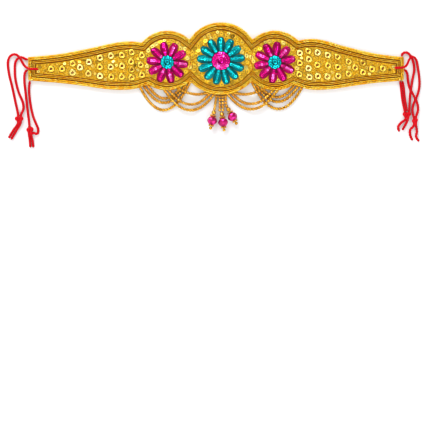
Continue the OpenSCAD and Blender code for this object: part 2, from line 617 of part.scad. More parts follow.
belt_panel();
outer_braid();
inner_braid();
for (i = [0:2]) flower_petals(i);
for (i = [0:2]) boss(i);
wing_sequins(-1);  // left_wing_sequins
wing_sequins(1);  // right_wing_sequins
for (i = [0:11]) swag(i);
swag_threads(0, 2);  // left_swag_threads
swag_threads(3, 8);  // centre_swag_threads
swag_threads(9, 11);  // right_swag_threads
for (i = [0:2]) drop_beads(i);
for (i = [0:2]) drop_thread(i);
for (i = [0:2]) large_bead(i);
for (i = [0:2]) ball_ring(i, upper_ring_s, upper_ring_d);
for (i = [0:2]) crystal(i);
for (i = [0:2]) ball_ring(i, lower_ring_s, lower_ring_d);
for (i = [0:2]) end_bead(i);
for (i = [0:7]) cord(i);
for (i = [0:3]) knot(i);
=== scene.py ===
import math

import bpy
import numpy as np
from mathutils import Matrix, Vector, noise
from mathutils.bvhtree import BVHTree


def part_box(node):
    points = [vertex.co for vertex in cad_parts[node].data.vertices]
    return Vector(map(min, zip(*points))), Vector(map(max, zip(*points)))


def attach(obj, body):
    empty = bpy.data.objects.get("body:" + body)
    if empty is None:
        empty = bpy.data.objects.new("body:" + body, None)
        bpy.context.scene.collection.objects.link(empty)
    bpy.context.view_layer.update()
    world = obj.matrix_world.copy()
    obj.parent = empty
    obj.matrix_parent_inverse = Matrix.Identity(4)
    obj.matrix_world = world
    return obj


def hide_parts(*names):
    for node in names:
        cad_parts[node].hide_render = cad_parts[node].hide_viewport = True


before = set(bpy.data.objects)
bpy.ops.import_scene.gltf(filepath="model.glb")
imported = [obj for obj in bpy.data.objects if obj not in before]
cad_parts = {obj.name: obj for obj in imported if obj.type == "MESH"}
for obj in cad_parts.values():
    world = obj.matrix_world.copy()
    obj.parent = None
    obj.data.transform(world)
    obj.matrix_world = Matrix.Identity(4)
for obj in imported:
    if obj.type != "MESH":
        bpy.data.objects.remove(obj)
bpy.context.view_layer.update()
mm = 0.001  # every size below is in mm, and turns into metres where a mesh is made
print("packed model loaded,", len(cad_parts), "nodes")


# The picture: straight down, with the whole belt where the upper view shows it

picture = {
    "middle": (-6.4, -163.9),  # what the lens points at, in the belt's frame
    "width": 457.5,  # across the picture, at the height of the face
    "faceHeight": 3,
    "lens": 135,
    "sensor": 36,
    "clip": 20,  # in metres
}


def addObject(name, data):
    made = bpy.data.objects.new(name, data)
    bpy.context.scene.collection.objects.link(made)
    return made


def addCamera():
    data = bpy.data.cameras.new("camera")
    data.lens = picture["lens"]
    data.sensor_width = picture["sensor"]
    data.clip_end = picture["clip"]
    cam = addObject("camera", data)
    rise = picture["width"] * picture["lens"] / picture["sensor"] + picture["faceHeight"]
    x, y = picture["middle"]
    cam.location = (x * mm, y * mm, rise * mm)
    bpy.context.scene.camera = cam


addCamera()
print("camera set")


# Meshes are put together as arrays of points and faces in mm

def unit(v):
    v = np.asarray(v, float)
    return v / np.maximum(np.linalg.norm(v, axis=-1, keepdims=True), 1e-12)


def meshObject(name, shape, material, uv=None, smooth=True):
    # shape: points in mm, and a list of face tables, each for faces of one number of corners
    points, tables = shape
    corners = np.concatenate([t.ravel() for t in tables])
    sizes = np.concatenate([np.full(len(t), t.shape[1]) for t in tables])
    mesh = bpy.data.meshes.new(name)
    mesh.vertices.add(len(points))
    mesh.vertices.foreach_set("co", (points * mm).astype(np.float32).ravel())
    mesh.loops.add(len(corners))
    mesh.loops.foreach_set("vertex_index", corners.astype(np.int32))
    mesh.polygons.add(len(sizes))
    mesh.polygons.foreach_set("loop_start", (np.cumsum(sizes) - sizes).astype(np.int32))
    mesh.polygons.foreach_set("use_smooth", np.full(len(sizes), smooth))
    mesh.update(calc_edges=True)
    mesh.validate()
    if uv is not None:
        layer = mesh.uv_layers.new(name="UVMap")
        corner = np.zeros(len(mesh.loops), np.int32)
        mesh.loops.foreach_get("vertex_index", corner)
        layer.data.foreach_set("uv", np.asarray(uv, np.float32)[corner].ravel())
    mesh.materials.append(material)
    return addObject(name, mesh)


def asPiece(made, node=None):
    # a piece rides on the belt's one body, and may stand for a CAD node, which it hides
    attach(made, "root")
    if node:
        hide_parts(node)
    return made


def makePiece(name, shape, look, node=None, uv=None, smooth=True):
    return asPiece(meshObject(name, shape, finish[look], uv, smooth), node)


def turns(count):
    return np.arange(count) * 2 * math.pi / count


def spoke(a):
    # flat directions at a turn: outwards, and onwards round
    out = np.array((math.cos(a), math.sin(a), 0))
    return out, np.array((-out[1], out[0], 0))


def skin(rings, capped=True, closed=False):
    # rings: stations x points round x 3
    rings = np.asarray(rings, float)
    m, n = rings.shape[:2]
    i = np.arange(m if closed else m - 1)[:, None]
    j = np.arange(n)[None, :]
    k, l = (i + 1) % m, (j + 1) % n
    tables = [np.stack([i * n + j, i * n + l, k * n + l, k * n + j], axis=-1).reshape(-1, 4)]
    if capped and not closed:
        tables.append(np.stack([np.arange(n)[::-1], (m - 1) * n + np.arange(n)]))
    return rings.reshape(-1, 3), tables


def lathe(profile, segments, closed=False):
    # profile: (radius, height) pairs
    rings = [[(r * math.cos(a), r * math.sin(a), z) for a in turns(segments)] for r, z in profile]
    return skin(rings, capped=not closed, closed=closed)


def joined(*shapes):
    points, tables, start = [], [], 0
    for p, faces in shapes:
        points.append(p)
        tables += [t + start for t in faces]
        start += len(p)
    return np.concatenate(points), tables


def repeated(tables, size, count):
    # the face tables of so many copies of a shape of this many points
    starts = (np.arange(count) * size)[:, None, None]
    return [(t[None] + starts).reshape(-1, t.shape[1]) for t in tables]


def many(shape, places):
    # copies of one shape; each place is a 3 x 3 turn and size, and a position
    points, tables = shape
    sizes, shifts = (np.array([p[k] for p in places]) for k in (0, 1))
    allPoints = np.einsum("nij,vj->nvi", sizes, points) + shifts[:, None, :]
    return allPoints.reshape(-1, 3), repeated(tables, len(points), len(places))


def tube(line, reach, sides):
    # a round strand along a line; reach gives its radius at each point
    a, b = carriedFrames(line)
    turn = turns(sides)
    out = np.cos(turn)[None, :, None] * a[:, None, :] + np.sin(turn)[None, :, None] * b[:, None, :]
    return skin(line[:, None, :] + out * np.reshape(reach, (-1, 1, 1)))


def facing(normal, spin=0.0):
    # turn that lays a flat shape's z along normal, spun about it
    z = unit(normal)
    x = unit(np.cross((0, 1, 0), z)) if abs(z[1]) < 0.9 else unit(np.cross((1, 0, 0), z))
    y = np.cross(z, x)
    c, s = math.cos(spin), math.sin(spin)
    return np.stack([c * x + s * y, c * y - s * x, z], axis=1)


def mix(p, q, start, end, t):
    return (end - t) / (end - start) * p + (t - start) / (end - start) * q


def smoothLine(points, step):
    # an even line of short steps through a few chosen points
    p = np.asarray(points, float)
    p = np.vstack([2 * p[0] - p[1], p, 2 * p[-1] - p[-2]])
    out = []
    for i in range(1, len(p) - 2):
        knots = [0.0]
        for j in range(3):
            knots.append(knots[-1] + max(np.linalg.norm(p[i + j] - p[i + j - 1]), 1e-6) ** 0.5)
        a, b, c, d = knots
        for t in np.linspace(b, c, 12, endpoint=False):
            q = mix(p[i], p[i + 1], b, c, t)
            early = mix(mix(p[i - 1], p[i], a, b, t), q, a, c, t)
            late = mix(q, mix(p[i + 1], p[i + 2], c, d, t), b, d, t)
            out.append(mix(early, late, b, c, t))
    out.append(p[-2])
    return evenLine(np.array(out), step)


def distances(line):
    # how far along a line each of its points is
    return np.concatenate([[0], np.cumsum(np.linalg.norm(np.diff(line, axis=0), axis=1))])


def readOff(at, along, values):
    return np.stack([np.interp(at, along, column) for column in values.T], axis=-1)


def evenLine(line, step):
    along = distances(line)
    at = np.linspace(0, along[-1], max(2, round(along[-1] / step) + 1))
    return readOff(at, along, line)


def nearest(spots, others):
    # each spot's distance to the nearest of the others
    return np.array([np.min(np.hypot(*(others - p).T)) for p in spots])


def carriedFrames(line):
    # two directions across the line at each of its points, carried along without twist
    ahead = unit(np.gradient(line, axis=0))
    side = unit(np.cross(ahead[0], (0, 0, 1)))
    sides = []
    for t in ahead:
        side = unit(side - t * np.dot(side, t))
        sides.append(side)
    sides = np.array(sides)
    return sides, np.cross(ahead, sides)


# Materials

def paint(r, g, b):
    # a colour of 0 to 255, made linear
    return tuple((v / 255 / 12.92) if v <= 10 else ((v / 255 + 0.055) / 1.055) ** 2.4
                 for v in (r, g, b)) + (1.0,)


def newMaterial(name, **sockets):
    material = bpy.data.materials.new(name)
    material.use_nodes = True
    tree = material.node_tree
    labels = {"rough": "Roughness", "metal": "Metallic", "color": "Base Color", "ior": "IOR",
              "coat": "Coat Weight", "coatRough": "Coat Roughness", "shine": "Specular IOR Level"}
    for key, value in sockets.items():
        shaderOf(tree)[labels[key]].default_value = value
    return material, tree


def shaderOf(tree):
    return tree.nodes["Principled BSDF"].inputs


def addNode(tree, kind, **inputs):
    node = tree.nodes.new("ShaderNode" + kind)
    for key, value in inputs.items():
        node.inputs[key].default_value = value
    return node


def laid(tree, kind, by, **inputs):
    # a texture laid by the mesh's UV, or by Object, which fixes it to the belt
    node = addNode(tree, kind, **inputs)
    tree.links.new(addNode(tree, "TexCoord").outputs[by], node.inputs["Vector"])
    return node


def ramp(tree, source, *stops):
    # a stop is a place and a colour: three numbers are a paint, four are linear
    node = addNode(tree, "ValToRGB")
    band = node.color_ramp.elements
    while len(band) < len(stops):
        band.new(0.5)
    for element, (place, color) in zip(band, stops):
        element.position = place
        element.color = color if len(color) == 4 else paint(*color)
    tree.links.new(source, node.inputs["Fac"])
    return node.outputs["Color"]


def tint(tree, source, *stops):
    tree.links.new(ramp(tree, source, *stops), shaderOf(tree)["Base Color"])


def relief(tree, source, height):
    bump = addNode(tree, "Bump", Strength=1.0, Distance=height * mm)
    tree.links.new(source, bump.inputs["Height"])
    tree.links.new(bump.outputs["Normal"], shaderOf(tree)["Normal"])


def speckle(tree, scale, detail=2.0):
    # noise fixed to the belt, about one speck for each 1000/scale mm
    return laid(tree, "TexNoise", "Object", Scale=scale, Detail=detail).outputs["Fac"]


def eachPiece(tree):
    return addNode(tree, "NewGeometry").outputs["Random Per Island"]


def zariCloth():
    material, tree = newMaterial("zari_cloth", rough=0.42, metal=0.72)
    tint(tree, speckle(tree, 700.0), (0.3, (148, 80, 2)), (0.46, (210, 146, 16)),
         (0.62, (238, 188, 30)), (0.8, (255, 224, 62)))
    relief(tree, laid(tree, "TexVoronoi", "Object", Scale=1300.0).outputs["Distance"], 0.35)
    return material


def simpleFinish(name, *stops, flecks=None, bumps=None, **sockets):
    # coloured by flecks, or else each loose copy in its own shade; bumps are a scale and a height
    material, tree = newMaterial(name, **sockets)
    tint(tree, speckle(tree, *flecks) if flecks else eachPiece(tree), *stops)
    if bumps:
        relief(tree, speckle(tree, bumps[0]), bumps[1])
    return material


def sequinFoil(name, dark, middle, light, rough=0.12):
    return simpleFinish(name, (0.0, dark), (0.14, middle), (0.72, middle), (0.95, light),
                        bumps=(2500.0, 0.02), rough=rough, metal=0.96, coat=0.12, coatRough=0.05)


def sewingThread(name, dark, light):
    return simpleFinish(name, (0.3, dark), (0.7, light), flecks=(2000.0,), rough=0.6, shine=0.2)


def braidStrand(name, dark, middle, light, rough=0.28):
    material, tree = newMaterial(name, rough=rough, metal=0.9)
    wires = laid(tree, "TexWave", "UV", Scale=0.55, Distortion=0.5)
    wires.bands_direction = "Y"
    shade = addNode(tree, "Mix", Factor=1.0)
    shade.data_type = "RGBA"
    shade.blend_type = "MULTIPLY"
    own = ramp(tree, eachPiece(tree), (0.0, dark), (0.45, middle), (1.0, light))
    # the grooves between the wires are painted darker: painted shade lying where the bump sinks
    grooveShade = ramp(tree, wires.outputs["Fac"], (0.0, (206, 150, 60)), (0.42, (255, 255, 255)))
    tree.links.new(own, shade.inputs["A"])
    tree.links.new(grooveShade, shade.inputs["B"])
    tree.links.new(shade.outputs["Result"], shaderOf(tree)["Base Color"])
    relief(tree, wires.outputs["Fac"], 0.06)
    return material


def paddedThread(name, dark, light):
    material, tree = newMaterial(name, rough=0.55, metal=0.2, shine=0.25)
    wound = laid(tree, "TexWave", "UV", Scale=2.4, Distortion=1.6, **{"Detail Scale": 3.0})
    mixed = addNode(tree, "Math")
    mixed.operation = "MULTIPLY"
    tree.links.new(speckle(tree, 1500.0), mixed.inputs[0])
    tree.links.new(wound.outputs["Fac"], mixed.inputs[1])
    tint(tree, mixed.outputs["Value"], (0.05, dark), (0.5, light))
    relief(tree, mixed.outputs["Value"], 0.25)
    return material


def redCord():
    material, tree = newMaterial("red_cord", rough=0.42, shine=0.15, coat=0.03, coatRough=0.25)
    fibres = laid(tree, "TexWave", "UV", Scale=3.0, Distortion=2.0, Detail=1.0)
    fibres.bands_direction = "Y"
    tint(tree, fibres.outputs["Fac"], (0.0, (164, 0, 10)), (0.5, (232, 0, 22)),
         (1.0, (252, 18, 38)))
    relief(tree, fibres.outputs["Fac"], 0.12)
    return material


finish = {
    "cloth": zariCloth(),
    "stitch": simpleFinish("zari_thread", (0.0, (184, 104, 2)), (0.26, (246, 190, 24)),
                           (0.7, (252, 218, 44)), (1.0, (255, 246, 116)),
                           bumps=(4000.0, 0.05), rough=0.38, metal=0.88),
    "outerStrand": braidStrand("outer_braid_strand", (248, 182, 24), (255, 218, 50), (255, 244, 116)),
    "innerStrand": braidStrand("inner_braid_strand", (248, 180, 24), (255, 216, 48), (255, 242, 112)),
    # a darker copy of the strands' gold: on the braid cores it is painted shade between the strands, on
    # the seams it is the cord's own colour
    "seamGoldAndCoreShade": braidStrand("braid_core", (206, 108, 6), (220, 126, 10), (236, 146, 16), 0.5),
    "goldFoil": sequinFoil("gold_sequin", (116, 88, 8), (232, 190, 48), (255, 234, 122), 0.16),
    "ringFoil": sequinFoil("ring_sequin", (190, 142, 22), (248, 214, 80), (255, 242, 146), 0.2),
    "magentaFoil": sequinFoil("magenta_sequin", (160, 0, 84), (214, 4, 128), (255, 116, 206)),
    # a darker, rougher copy of the magenta foil for the petals' flank scales: painted shade on the
    # sloping sides
    "magentaShaded": sequinFoil("magenta_sequin_shaded", (132, 0, 62), (188, 0, 100), (230, 10, 136), 0.36),
    "magentaCup": sequinFoil("magenta_cup", (180, 0, 104), (206, 0, 122), (255, 60, 190)),
    "magentaPad": paddedThread("magenta_thread", (88, 0, 34), (182, 0, 88)),
    # a darker copy of the magenta padded thread for the bed low between the petals: painted shade
    "magentaShadedBed": paddedThread("magenta_thread_shaded", (84, 0, 30), (150, 0, 70)),
    "tealFoil": sequinFoil("teal_sequin", (0, 124, 132), (0, 180, 188), (20, 236, 238)),
    # a darker, rougher copy of the teal foil for the petals' flank scales: painted shade on the sloping
    # sides
    "tealShaded": sequinFoil("teal_sequin_shaded", (0, 92, 98), (0, 134, 140), (0, 172, 178), 0.36),
    "tealCup": sequinFoil("teal_cup", (0, 110, 120), (0, 140, 148), (0, 190, 196), 0.1),
    "tealPad": paddedThread("teal_thread", (0, 60, 64), (0, 128, 132)),
    # a darker copy of the teal padded thread for the bed low between the petals: painted shade
    "tealShadedBed": paddedThread("teal_thread_shaded", (0, 52, 58), (0, 104, 110)),
    "bead": simpleFinish("gilt_bead", (0.35, (190, 132, 22)), (0.55, (214, 162, 42)),
                         (0.75, (238, 198, 90)), flecks=(260.0, 3.0), bumps=(900.0, 0.02),
                         rough=0.12, metal=1.0, coat=0.3, coatRough=0.05),
    "smallBead": simpleFinish("amber_bead", (0.0, (96, 52, 4)), (1.0, (188, 122, 20)),
                              bumps=(1500.0, 0.03), rough=0.2, metal=0.8),
    "glass": simpleFinish("magenta_glass", (0.3, (150, 0, 76)), (0.7, (222, 0, 126)),
                          flecks=(260.0,), rough=0.07, ior=1.56, metal=0.75, shine=0.3, coat=0.35,
                          coatRough=0.02),
    "cord": redCord(),
    # dark brown: the drop and swag threads, and the painted shadow beds under the ringed sequins
    "thread": sewingThread("sewing_thread_and_shadow", (74, 34, 4), (132, 70, 8)),
    # dark brown: the braids' couching threads, drawn dark as a painted shadow line along the braids, and
    # the painted shadow beds under the scattered sequins
    "couching": sewingThread("couching_thread_and_shadow", (104, 50, 3), (156, 86, 8)),
}
print("materials made")


# Tie cords. Each follows its CAD route out of a tip, through its knot and on as a tail.

cordLook = {
    "thick": 3.0,  # across both plies
    "waist": 0.4,  # between the plies, as a share of the widest
    "end": 0.55,  # a cut end, likewise
    "sides": 14,
    "plain": 2.0,  # diameter of the plain round that it is in CAD
    "lying": 1.5,  # height of its middle on the floor; a route that runs lower is lifted to it
    "twist": 5.2,  # length of one turn of the two plies
    "step": 0.7,
    "knot": 1.2,  # a knot's strand is so much thicker
    "bulge": 0.7,  # how far a knot stands out of its CAD lump sideways
    "leftTip": -205.4,  # x of the wings' tips; routes give x out from them
    "rightTip": 194.7,
    "onFace": 4.15,
    "overBraid": 6.3,
    "belowTip": -21.3,
    "aboveTip": 4.9,
}
onFace, overBraid = cordLook["onFace"], cordLook["overBraid"]
belowTip, aboveTip = cordLook["belowTip"], cordLook["aboveTip"]

# name: (node, knot, route)
cordRoutes = {
    "left_cord_face": ("left_cord_a1", "left_knot_a", [
        (-11.2, -8.9, onFace), (-7.4, -8.9, overBraid), (-1.4, -8.4, overBraid),
        (3.6, -5, 4.2), (7.6, 1.5, 3.3), (12.6, 6.8, 3.2), (18.1, 6, 1.8), (21.4, 0, 1.1),
        (20.6, -12, 1.1), (17.1, -27, 1.1), (13.6, -43, 1.1), (10.4, -58.4, 2.6),
        (10.6, -66.3, 2.4), (15.6, -73.5, 1.1), (20.6, -82, 1.1)]),
    "left_cord_upper": ("left_cord_a2", "left_knot_a", [
        (0.1, 1.6, 1.2), (2.4, 2, 1.1), (6.1, 3.8, 1.1), (10.2, 3.2, 1.1), (13.4, -1, 1.1),
        (14.2, -10, 1.1), (13.2, -21, 1.1), (9.8, -34, 1.1), (5.6, -44, 1.1),
        (5, -51, 1.3), (7.8, -58.3, 2.6), (8.2, -66.3, 2.4), (13.2, -75, 1.1), (18, -83.5, 1.1)]),
    "left_cord_middle": ("left_cord_b1", "left_knot_b", [
        (0.2, -9.4, 1.2), (1.8, -10.2, 1.1), (3.5, -13, 1.1), (3.9, -22, 1.1),
        (2.6, -34, 1.1), (0.6, -52, 1.1), (-1.6, -69.7, 2.6),
        (-1.1, -78.4, 2.4), (-1.9, -84, 1.1), (-2.4, -92, 1.1)]),
    "left_cord_lower": ("left_cord_b2", "left_knot_b", [
        (-1.8, belowTip, 1.2), (-1, -30, 1.1), (-2.2, -44, 1.1), (-5.4, -59, 1.1),
        (-8.6, -67, 1.1), (-10.8, -73, 1.3), (-9.5, -77.6, 1.8), (-6, -76.6, 2.4),
        (-3.5, -78.4, 2.4), (-4.6, -84, 1.1), (-5.6, -92, 1.1)]),
    "right_cord_lower": ("right_cord_c1", "right_knot_c", [
        (-3.9, belowTip, 1.2), (-2.9, -28, 1.1), (-1.5, -41, 1.1), (0.9, -53.6, 2.6),
        (1.6, -61.9, 2.4), (-3.2, -66, 1.1), (-6.1, -70.5, 1.1), (-4.9, -75, 1.1)]),
    "right_cord_double": ("right_cord_c1", "right_knot_c", [
        (-1.5, belowTip, 1.2), (-0.3, -28, 1.1), (1.1, -41, 1.1), (3.2, -53.6, 2.6)]),
    "right_cord_upper": ("right_cord_c2", "right_knot_c", [
        (-2.4, aboveTip, 1.2), (-0.7, 8.4, 1.1), (3.8, 8.8, 1.1), (7.7, 4.5, 1.1),
        (10.3, -2, 1.1), (11.1, -9, 1.1), (8.8, -22, 1.1), (6.7, -37, 1.1),
        (5.5, -53.7, 2.6), (4.2, -61.6, 2.4), (2.3, -66.5, 1.1), (-1.5, -73.5, 1.1)]),
    "right_cord_face": ("right_cord_d1", "right_knot_d", [
        (-10, -7.4, onFace), (-6.2, -7.4, overBraid), (-0.5, -7.2, overBraid),
        (3.3, -3.8, 4.7), (5.3, 1, 3.6), (8.8, 4.3, 3.3), (12.9, 1.5, 2), (14.7, -6, 1.1),
        (16.7, -24, 1.1), (14.9, -35, 1.1), (9.7, -48, 1.1), (9.3, -55, 1.2),
        (10.6, -60.2, 2.4), (10.5, -68.6, 2.2), (6.9, -73, 1.1), (6.7, -78.5, 1.1),
        (9.1, -84.5, 1.1)]),
    "right_cord_middle": ("right_cord_d2", "right_knot_d", [
        (0.2, -9.3, 1.2), (1.9, -10.2, 1.1), (3.6, -13.2, 1.1), (4.3, -20, 1.4),
        (5.9, -28.5, 3.2), (10.3, -37, 3.3), (13.5, -43.5, 3.3), (15.1, -52, 1.3),
        (12.8, -60.3, 2.4), (12.9, -68.6, 2.2), (13.9, -75, 1.1), (13.1, -80.5, 1.1),
        (16.1, -85.5, 1.1)]),
}


def twoPly(line, thick, twist):
    # a strand of two plies laid round each other
    a, b = carriedFrames(line)
    along = distances(line)
    sides, waist = cordLook["sides"], cordLook["waist"]
    turn = turns(sides)
    reach = thick / 2 * (waist + (1 - waist) * np.abs(np.cos(turn)) ** 0.8)
    spin = along[:, None] / twist * 2 * math.pi + turn[None, :]
    ends = np.minimum(1, cordLook["end"] + np.minimum(along, along[-1] - along) / thick)[:, None]
    out = np.cos(spin)[..., None] * a[:, None, :] + np.sin(spin)[..., None] * b[:, None, :]
    rings = line[:, None, :] + out * (reach[None, :] * ends)[..., None]
    uv = np.stack([np.repeat(along / thick, sides), np.tile(turn / math.pi, len(line))], axis=1)
    return skin(rings), uv


def knotLine(box, thick):
    # a tied overhand knot, drawn in to its CAD lump's size
    lo, hi = (np.array(c) / mm for c in box)
    t = np.linspace(0.4, 0.4 + 2 * math.pi, 90)
    loop = np.stack([np.sin(t) + 2 * np.sin(2 * t), np.cos(t) - 2 * np.cos(2 * t),
                     -np.sin(3 * t)], axis=1)
    room = (hi - lo) / 2 - thick / 2 + (cordLook["bulge"], cordLook["bulge"], 0)
    return (lo + hi) / 2 + loop / np.abs(loop).max(axis=0) * room


for name in sorted({row[1] for row in cordRoutes.values()}):
    thick = cordLook["thick"] * cordLook["knot"]
    shape, uv = twoPly(knotLine(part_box(name), thick), thick, cordLook["twist"])
    makePiece(name + "_tied", shape, "cord", name, uv)

for name, (node, knot, route) in cordRoutes.items():
    left = name.startswith("left")
    tip, side = (cordLook["leftTip"], -1) if left else (cordLook["rightTip"], 1)
    points = [(tip + side * x, y, max(z, cordLook["lying"])) for x, y, z in route]
    line = smoothLine(points, cordLook["step"])
    shape, uv = twoPly(line, cordLook["thick"], cordLook["twist"])
    strand = makePiece(name, shape, "cord", node, uv)
print("tie cords and knots laid,", len(cordRoutes), "strands")


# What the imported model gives: corners, separate solids, and the panel's outline

def cadShape(node):
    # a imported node's corners in mm, each one once, and its triangles
    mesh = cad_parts[node].data
    mesh.calc_loop_triangles()
    points = np.empty(len(mesh.vertices) * 3, np.float32)
    mesh.vertices.foreach_get("co", points)
    tris = np.empty(len(mesh.loop_triangles) * 3, np.int32)
    mesh.loop_triangles.foreach_get("vertices", tris)
    kept, back = np.unique(np.round(points.reshape(-1, 3) / mm, 3), axis=0, return_inverse=True)
    tris = back.reshape(-1)[tris].reshape(-1, 3)
    whole = (tris[:, 0] != tris[:, 1]) & (tris[:, 1] != tris[:, 2]) & (tris[:, 2] != tris[:, 0])
    return kept.astype(float), tris[whole]


def cadSolids(node):
    points, tris = cadShape(node)
    group = np.arange(len(points))
    while True:
        fresh = group.copy()
        np.minimum.at(fresh, tris.ravel(), np.repeat(group[tris].min(axis=1), 3))
        fresh = fresh[fresh]
        if (fresh == group).all():
            return [points[group == g] for g in np.unique(group)]
        group = fresh


def middleOf(points):
    return (points.min(axis=0) + points.max(axis=0)) / 2


def nodeMiddle(node):
    return sum(np.array(c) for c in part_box(node)) / 2 / mm


def panelOutline(step=0.5):
    # the rim of the panel's flat back, anticlockwise
    points, tris = cadShape("belt_panel")
    flat = tris[(points[:, 2] < 0.01)[tris].all(axis=1)]
    used = {(a, b) for t in flat.tolist() for a, b in ((t[0], t[1]), (t[1], t[2]), (t[2], t[0]))}
    after = {a: b for a, b in used if (b, a) not in used}
    order = [next(iter(after))]
    while after[order[-1]] != order[0]:
        order.append(after[order[-1]])
    rim = points[order, :2]
    following = np.roll(rim, -1, axis=0)
    if np.sum(rim[:, 0] * following[:, 1] - rim[:, 1] * following[:, 0]) < 0:
        rim = rim[::-1]
        following = np.roll(rim, -1, axis=0)
    out = []
    for a, b in zip(rim, following):
        n = max(1, round(np.linalg.norm(b - a) / step))
        out += [a + (b - a) * i / n for i in range(n)]
    return np.array(out)


def insideNormals(loop):
    ahead = unit(np.roll(loop, -1, axis=0) - loop)
    left = np.stack([-ahead[:, 1], ahead[:, 0]], axis=1)
    before = np.roll(left, 1, axis=0)
    return (left + before) / (1 + np.sum(left * before, axis=1))[:, None]


def inset(loop, depth, step=0.4):
    # the outline drawn in by a depth, with its cusps left sharp
    moved = loop + insideNormals(loop) * depth
    kept = moved[nearest(moved, loop) > depth - 0.06]
    return evenLine(np.vstack([kept, kept[:1]]), step)[:-1]


def within(loop, spots):
    a, b = loop, np.roll(loop, -1, axis=0)
    x, y = spots[:, 0][:, None], spots[:, 1][:, None]
    crosses = (a[:, 1] > y) != (b[:, 1] > y)
    reach = a[:, 0] + (y - a[:, 1]) * (b[:, 0] - a[:, 0]) / (b[:, 1] - a[:, 1] + 1e-12)
    return (crosses & (x < reach)).sum(axis=1) % 2 == 1


outline = panelOutline()
panelPoints, panelTris = cadShape("belt_panel")
panelTree = BVHTree.FromPolygons(panelPoints.tolist(), panelTris.tolist())
plainFace = 2.4  # its height without padding, for places off the panel
above = 50  # where the rays that measure it start


def faceAt(x, y):
    # height and normal of the panel's face
    hit, normal = panelTree.ray_cast(Vector((x, y, above)), Vector((0, 0, -1)))[:2]
    if hit is None:
        return plainFace, np.array((0, 0, 1.0))
    return hit.z, np.array(normal)


print("outline read,", len(outline), "points")


# Cloth panel: a finely meshed copy of the padded panel with nubby zari ground

cloth = {
    "grain": 1.05,  # size of its mesh
    "top": 3.3,  # no higher than this before its lumps
    "lumpsFrom": 2.2,  # what is lower than this has none
    "nub": 0.22,  # height of its lumps
    "nubSize": 1.6,
    "level": 0.6,  # the share of a lump that lies below the plain face
}


def makeCloth():
    plain = meshObject("cloth_plain", (panelPoints, [panelTris]), finish["cloth"])
    remesh = plain.modifiers.new("even", "REMESH")
    remesh.mode = "VOXEL"
    remesh.voxel_size = cloth["grain"] * mm
    graph = bpy.context.evaluated_depsgraph_get()
    mesh = bpy.data.meshes.new_from_object(plain.evaluated_get(graph))
    bpy.data.objects.remove(plain)
    for v in mesh.vertices:
        v.co.z = min(max(v.co.z, 0), cloth["top"] * mm)
        if v.co.z > cloth["lumpsFrom"] * mm:
            lump = noise.noise(v.co / (cloth["nubSize"] * mm)) * 0.5 + 0.5
            v.co.z += (lump - cloth["level"]) * cloth["nub"] * mm
    mesh.polygons.foreach_set("use_smooth", np.full(len(mesh.polygons), True))
    mesh.materials.clear()
    mesh.materials.append(finish["cloth"])
    made = asPiece(addObject("zari_cloth_panel", mesh), "belt_panel")


makeCloth()
print("cloth panel made")


# Braids: two rope-like rows outside, two finer rows inside, leaning opposite ways

braids = {
    "outer": {
        "rows": (0.75, 2.62),  # depth of each row in from the edge
        "radius": 0.76,  # of a strand
        "sides": 6,
        "pitch": 3.1,
        "lead": 1.75,  # half of what a strand takes up along its row
        "half": 0.56,  # and across it
        "foot": 3.0,  # height of a strand's ends
        "rise": 1.2,  # and of its middle over them
        "couched": 3.86,  # depth of the couching thread inside the rows, drawn dark as a painted shadow line
    },
    "inner": {
        "rows": (4.98, 6.56), "radius": 0.34, "sides": 5, "pitch": 1.24, "lead": 0.95,
        "half": 0.56, "foot": 2.92, "rise": 1.26, "couched": 7.74,
    },
}
strandLook = {
    "stations": 7,  # rings of points along it
    "taper": 0.45,  # how much thinner its ends are
    "stray": 0.05,  # along the row, as a share of the pitch
    "stretch": (0.9, 1.15),
    "lift": (-0.12, 0.1),
}
bedLook = {
    "wider": 0.22,  # than the strands' own line, on each side
    "lower": 0.26,
    "flatter": 0.9,
}
couching = {"foot": 2.92, "rise": 0.3, "half": 0.14}


def laidStrands(loop, template, pitch):
    # copies of a strand, mapped along a closed line: x along it, y into the belt, z up
    points, tables = template
    gaps = np.linalg.norm(np.roll(loop, -1, axis=0) - loop, axis=1)
    length = gaps.sum()
    along = np.concatenate([[0], np.cumsum(gaps)])
    closed = np.vstack([loop, loop[:1]])
    normal = unit(insideNormals(loop))
    normal = np.vstack([normal, normal[:1]])
    count = round(length / pitch)
    rng = np.random.default_rng(count)
    start = np.arange(count) * length / count + rng.normal(0, strandLook["stray"] * pitch, count)
    stretch = rng.uniform(*strandLook["stretch"], count)[:, None]
    at = (start[:, None] + points[None, :, 0] * stretch) % length
    inward = unit(readOff(at, along, normal))
    spot = readOff(at, along, closed) + inward * points[None, :, 1, None]
    lift = (points[None, :, 2] + rng.uniform(*strandLook["lift"], count)[:, None])[..., None]
    return np.concatenate([spot, lift], axis=-1).reshape(-1, 3), repeated(tables, len(points), count)


def braidBed(loop, foot, rise, half):
    # an arched band: the gilt core that shows between a row's strands, in a darker gold that paints the
    # shade of the gaps, or a couching thread, drawn dark as a painted shadow line
    normal = unit(insideNormals(loop))
    foot, half = foot - bedLook["lower"], half + bedLook["wider"]
    arch = [(math.cos(a) * half, foot + math.sin(a) * rise * bedLook["flatter"])
            for a in np.linspace(0, math.pi, 7)]
    rings = [np.column_stack([loop + normal * across, np.full(len(loop), up)]) for across, up in arch]
    return skin(np.array(rings).transpose(1, 0, 2), closed=True)


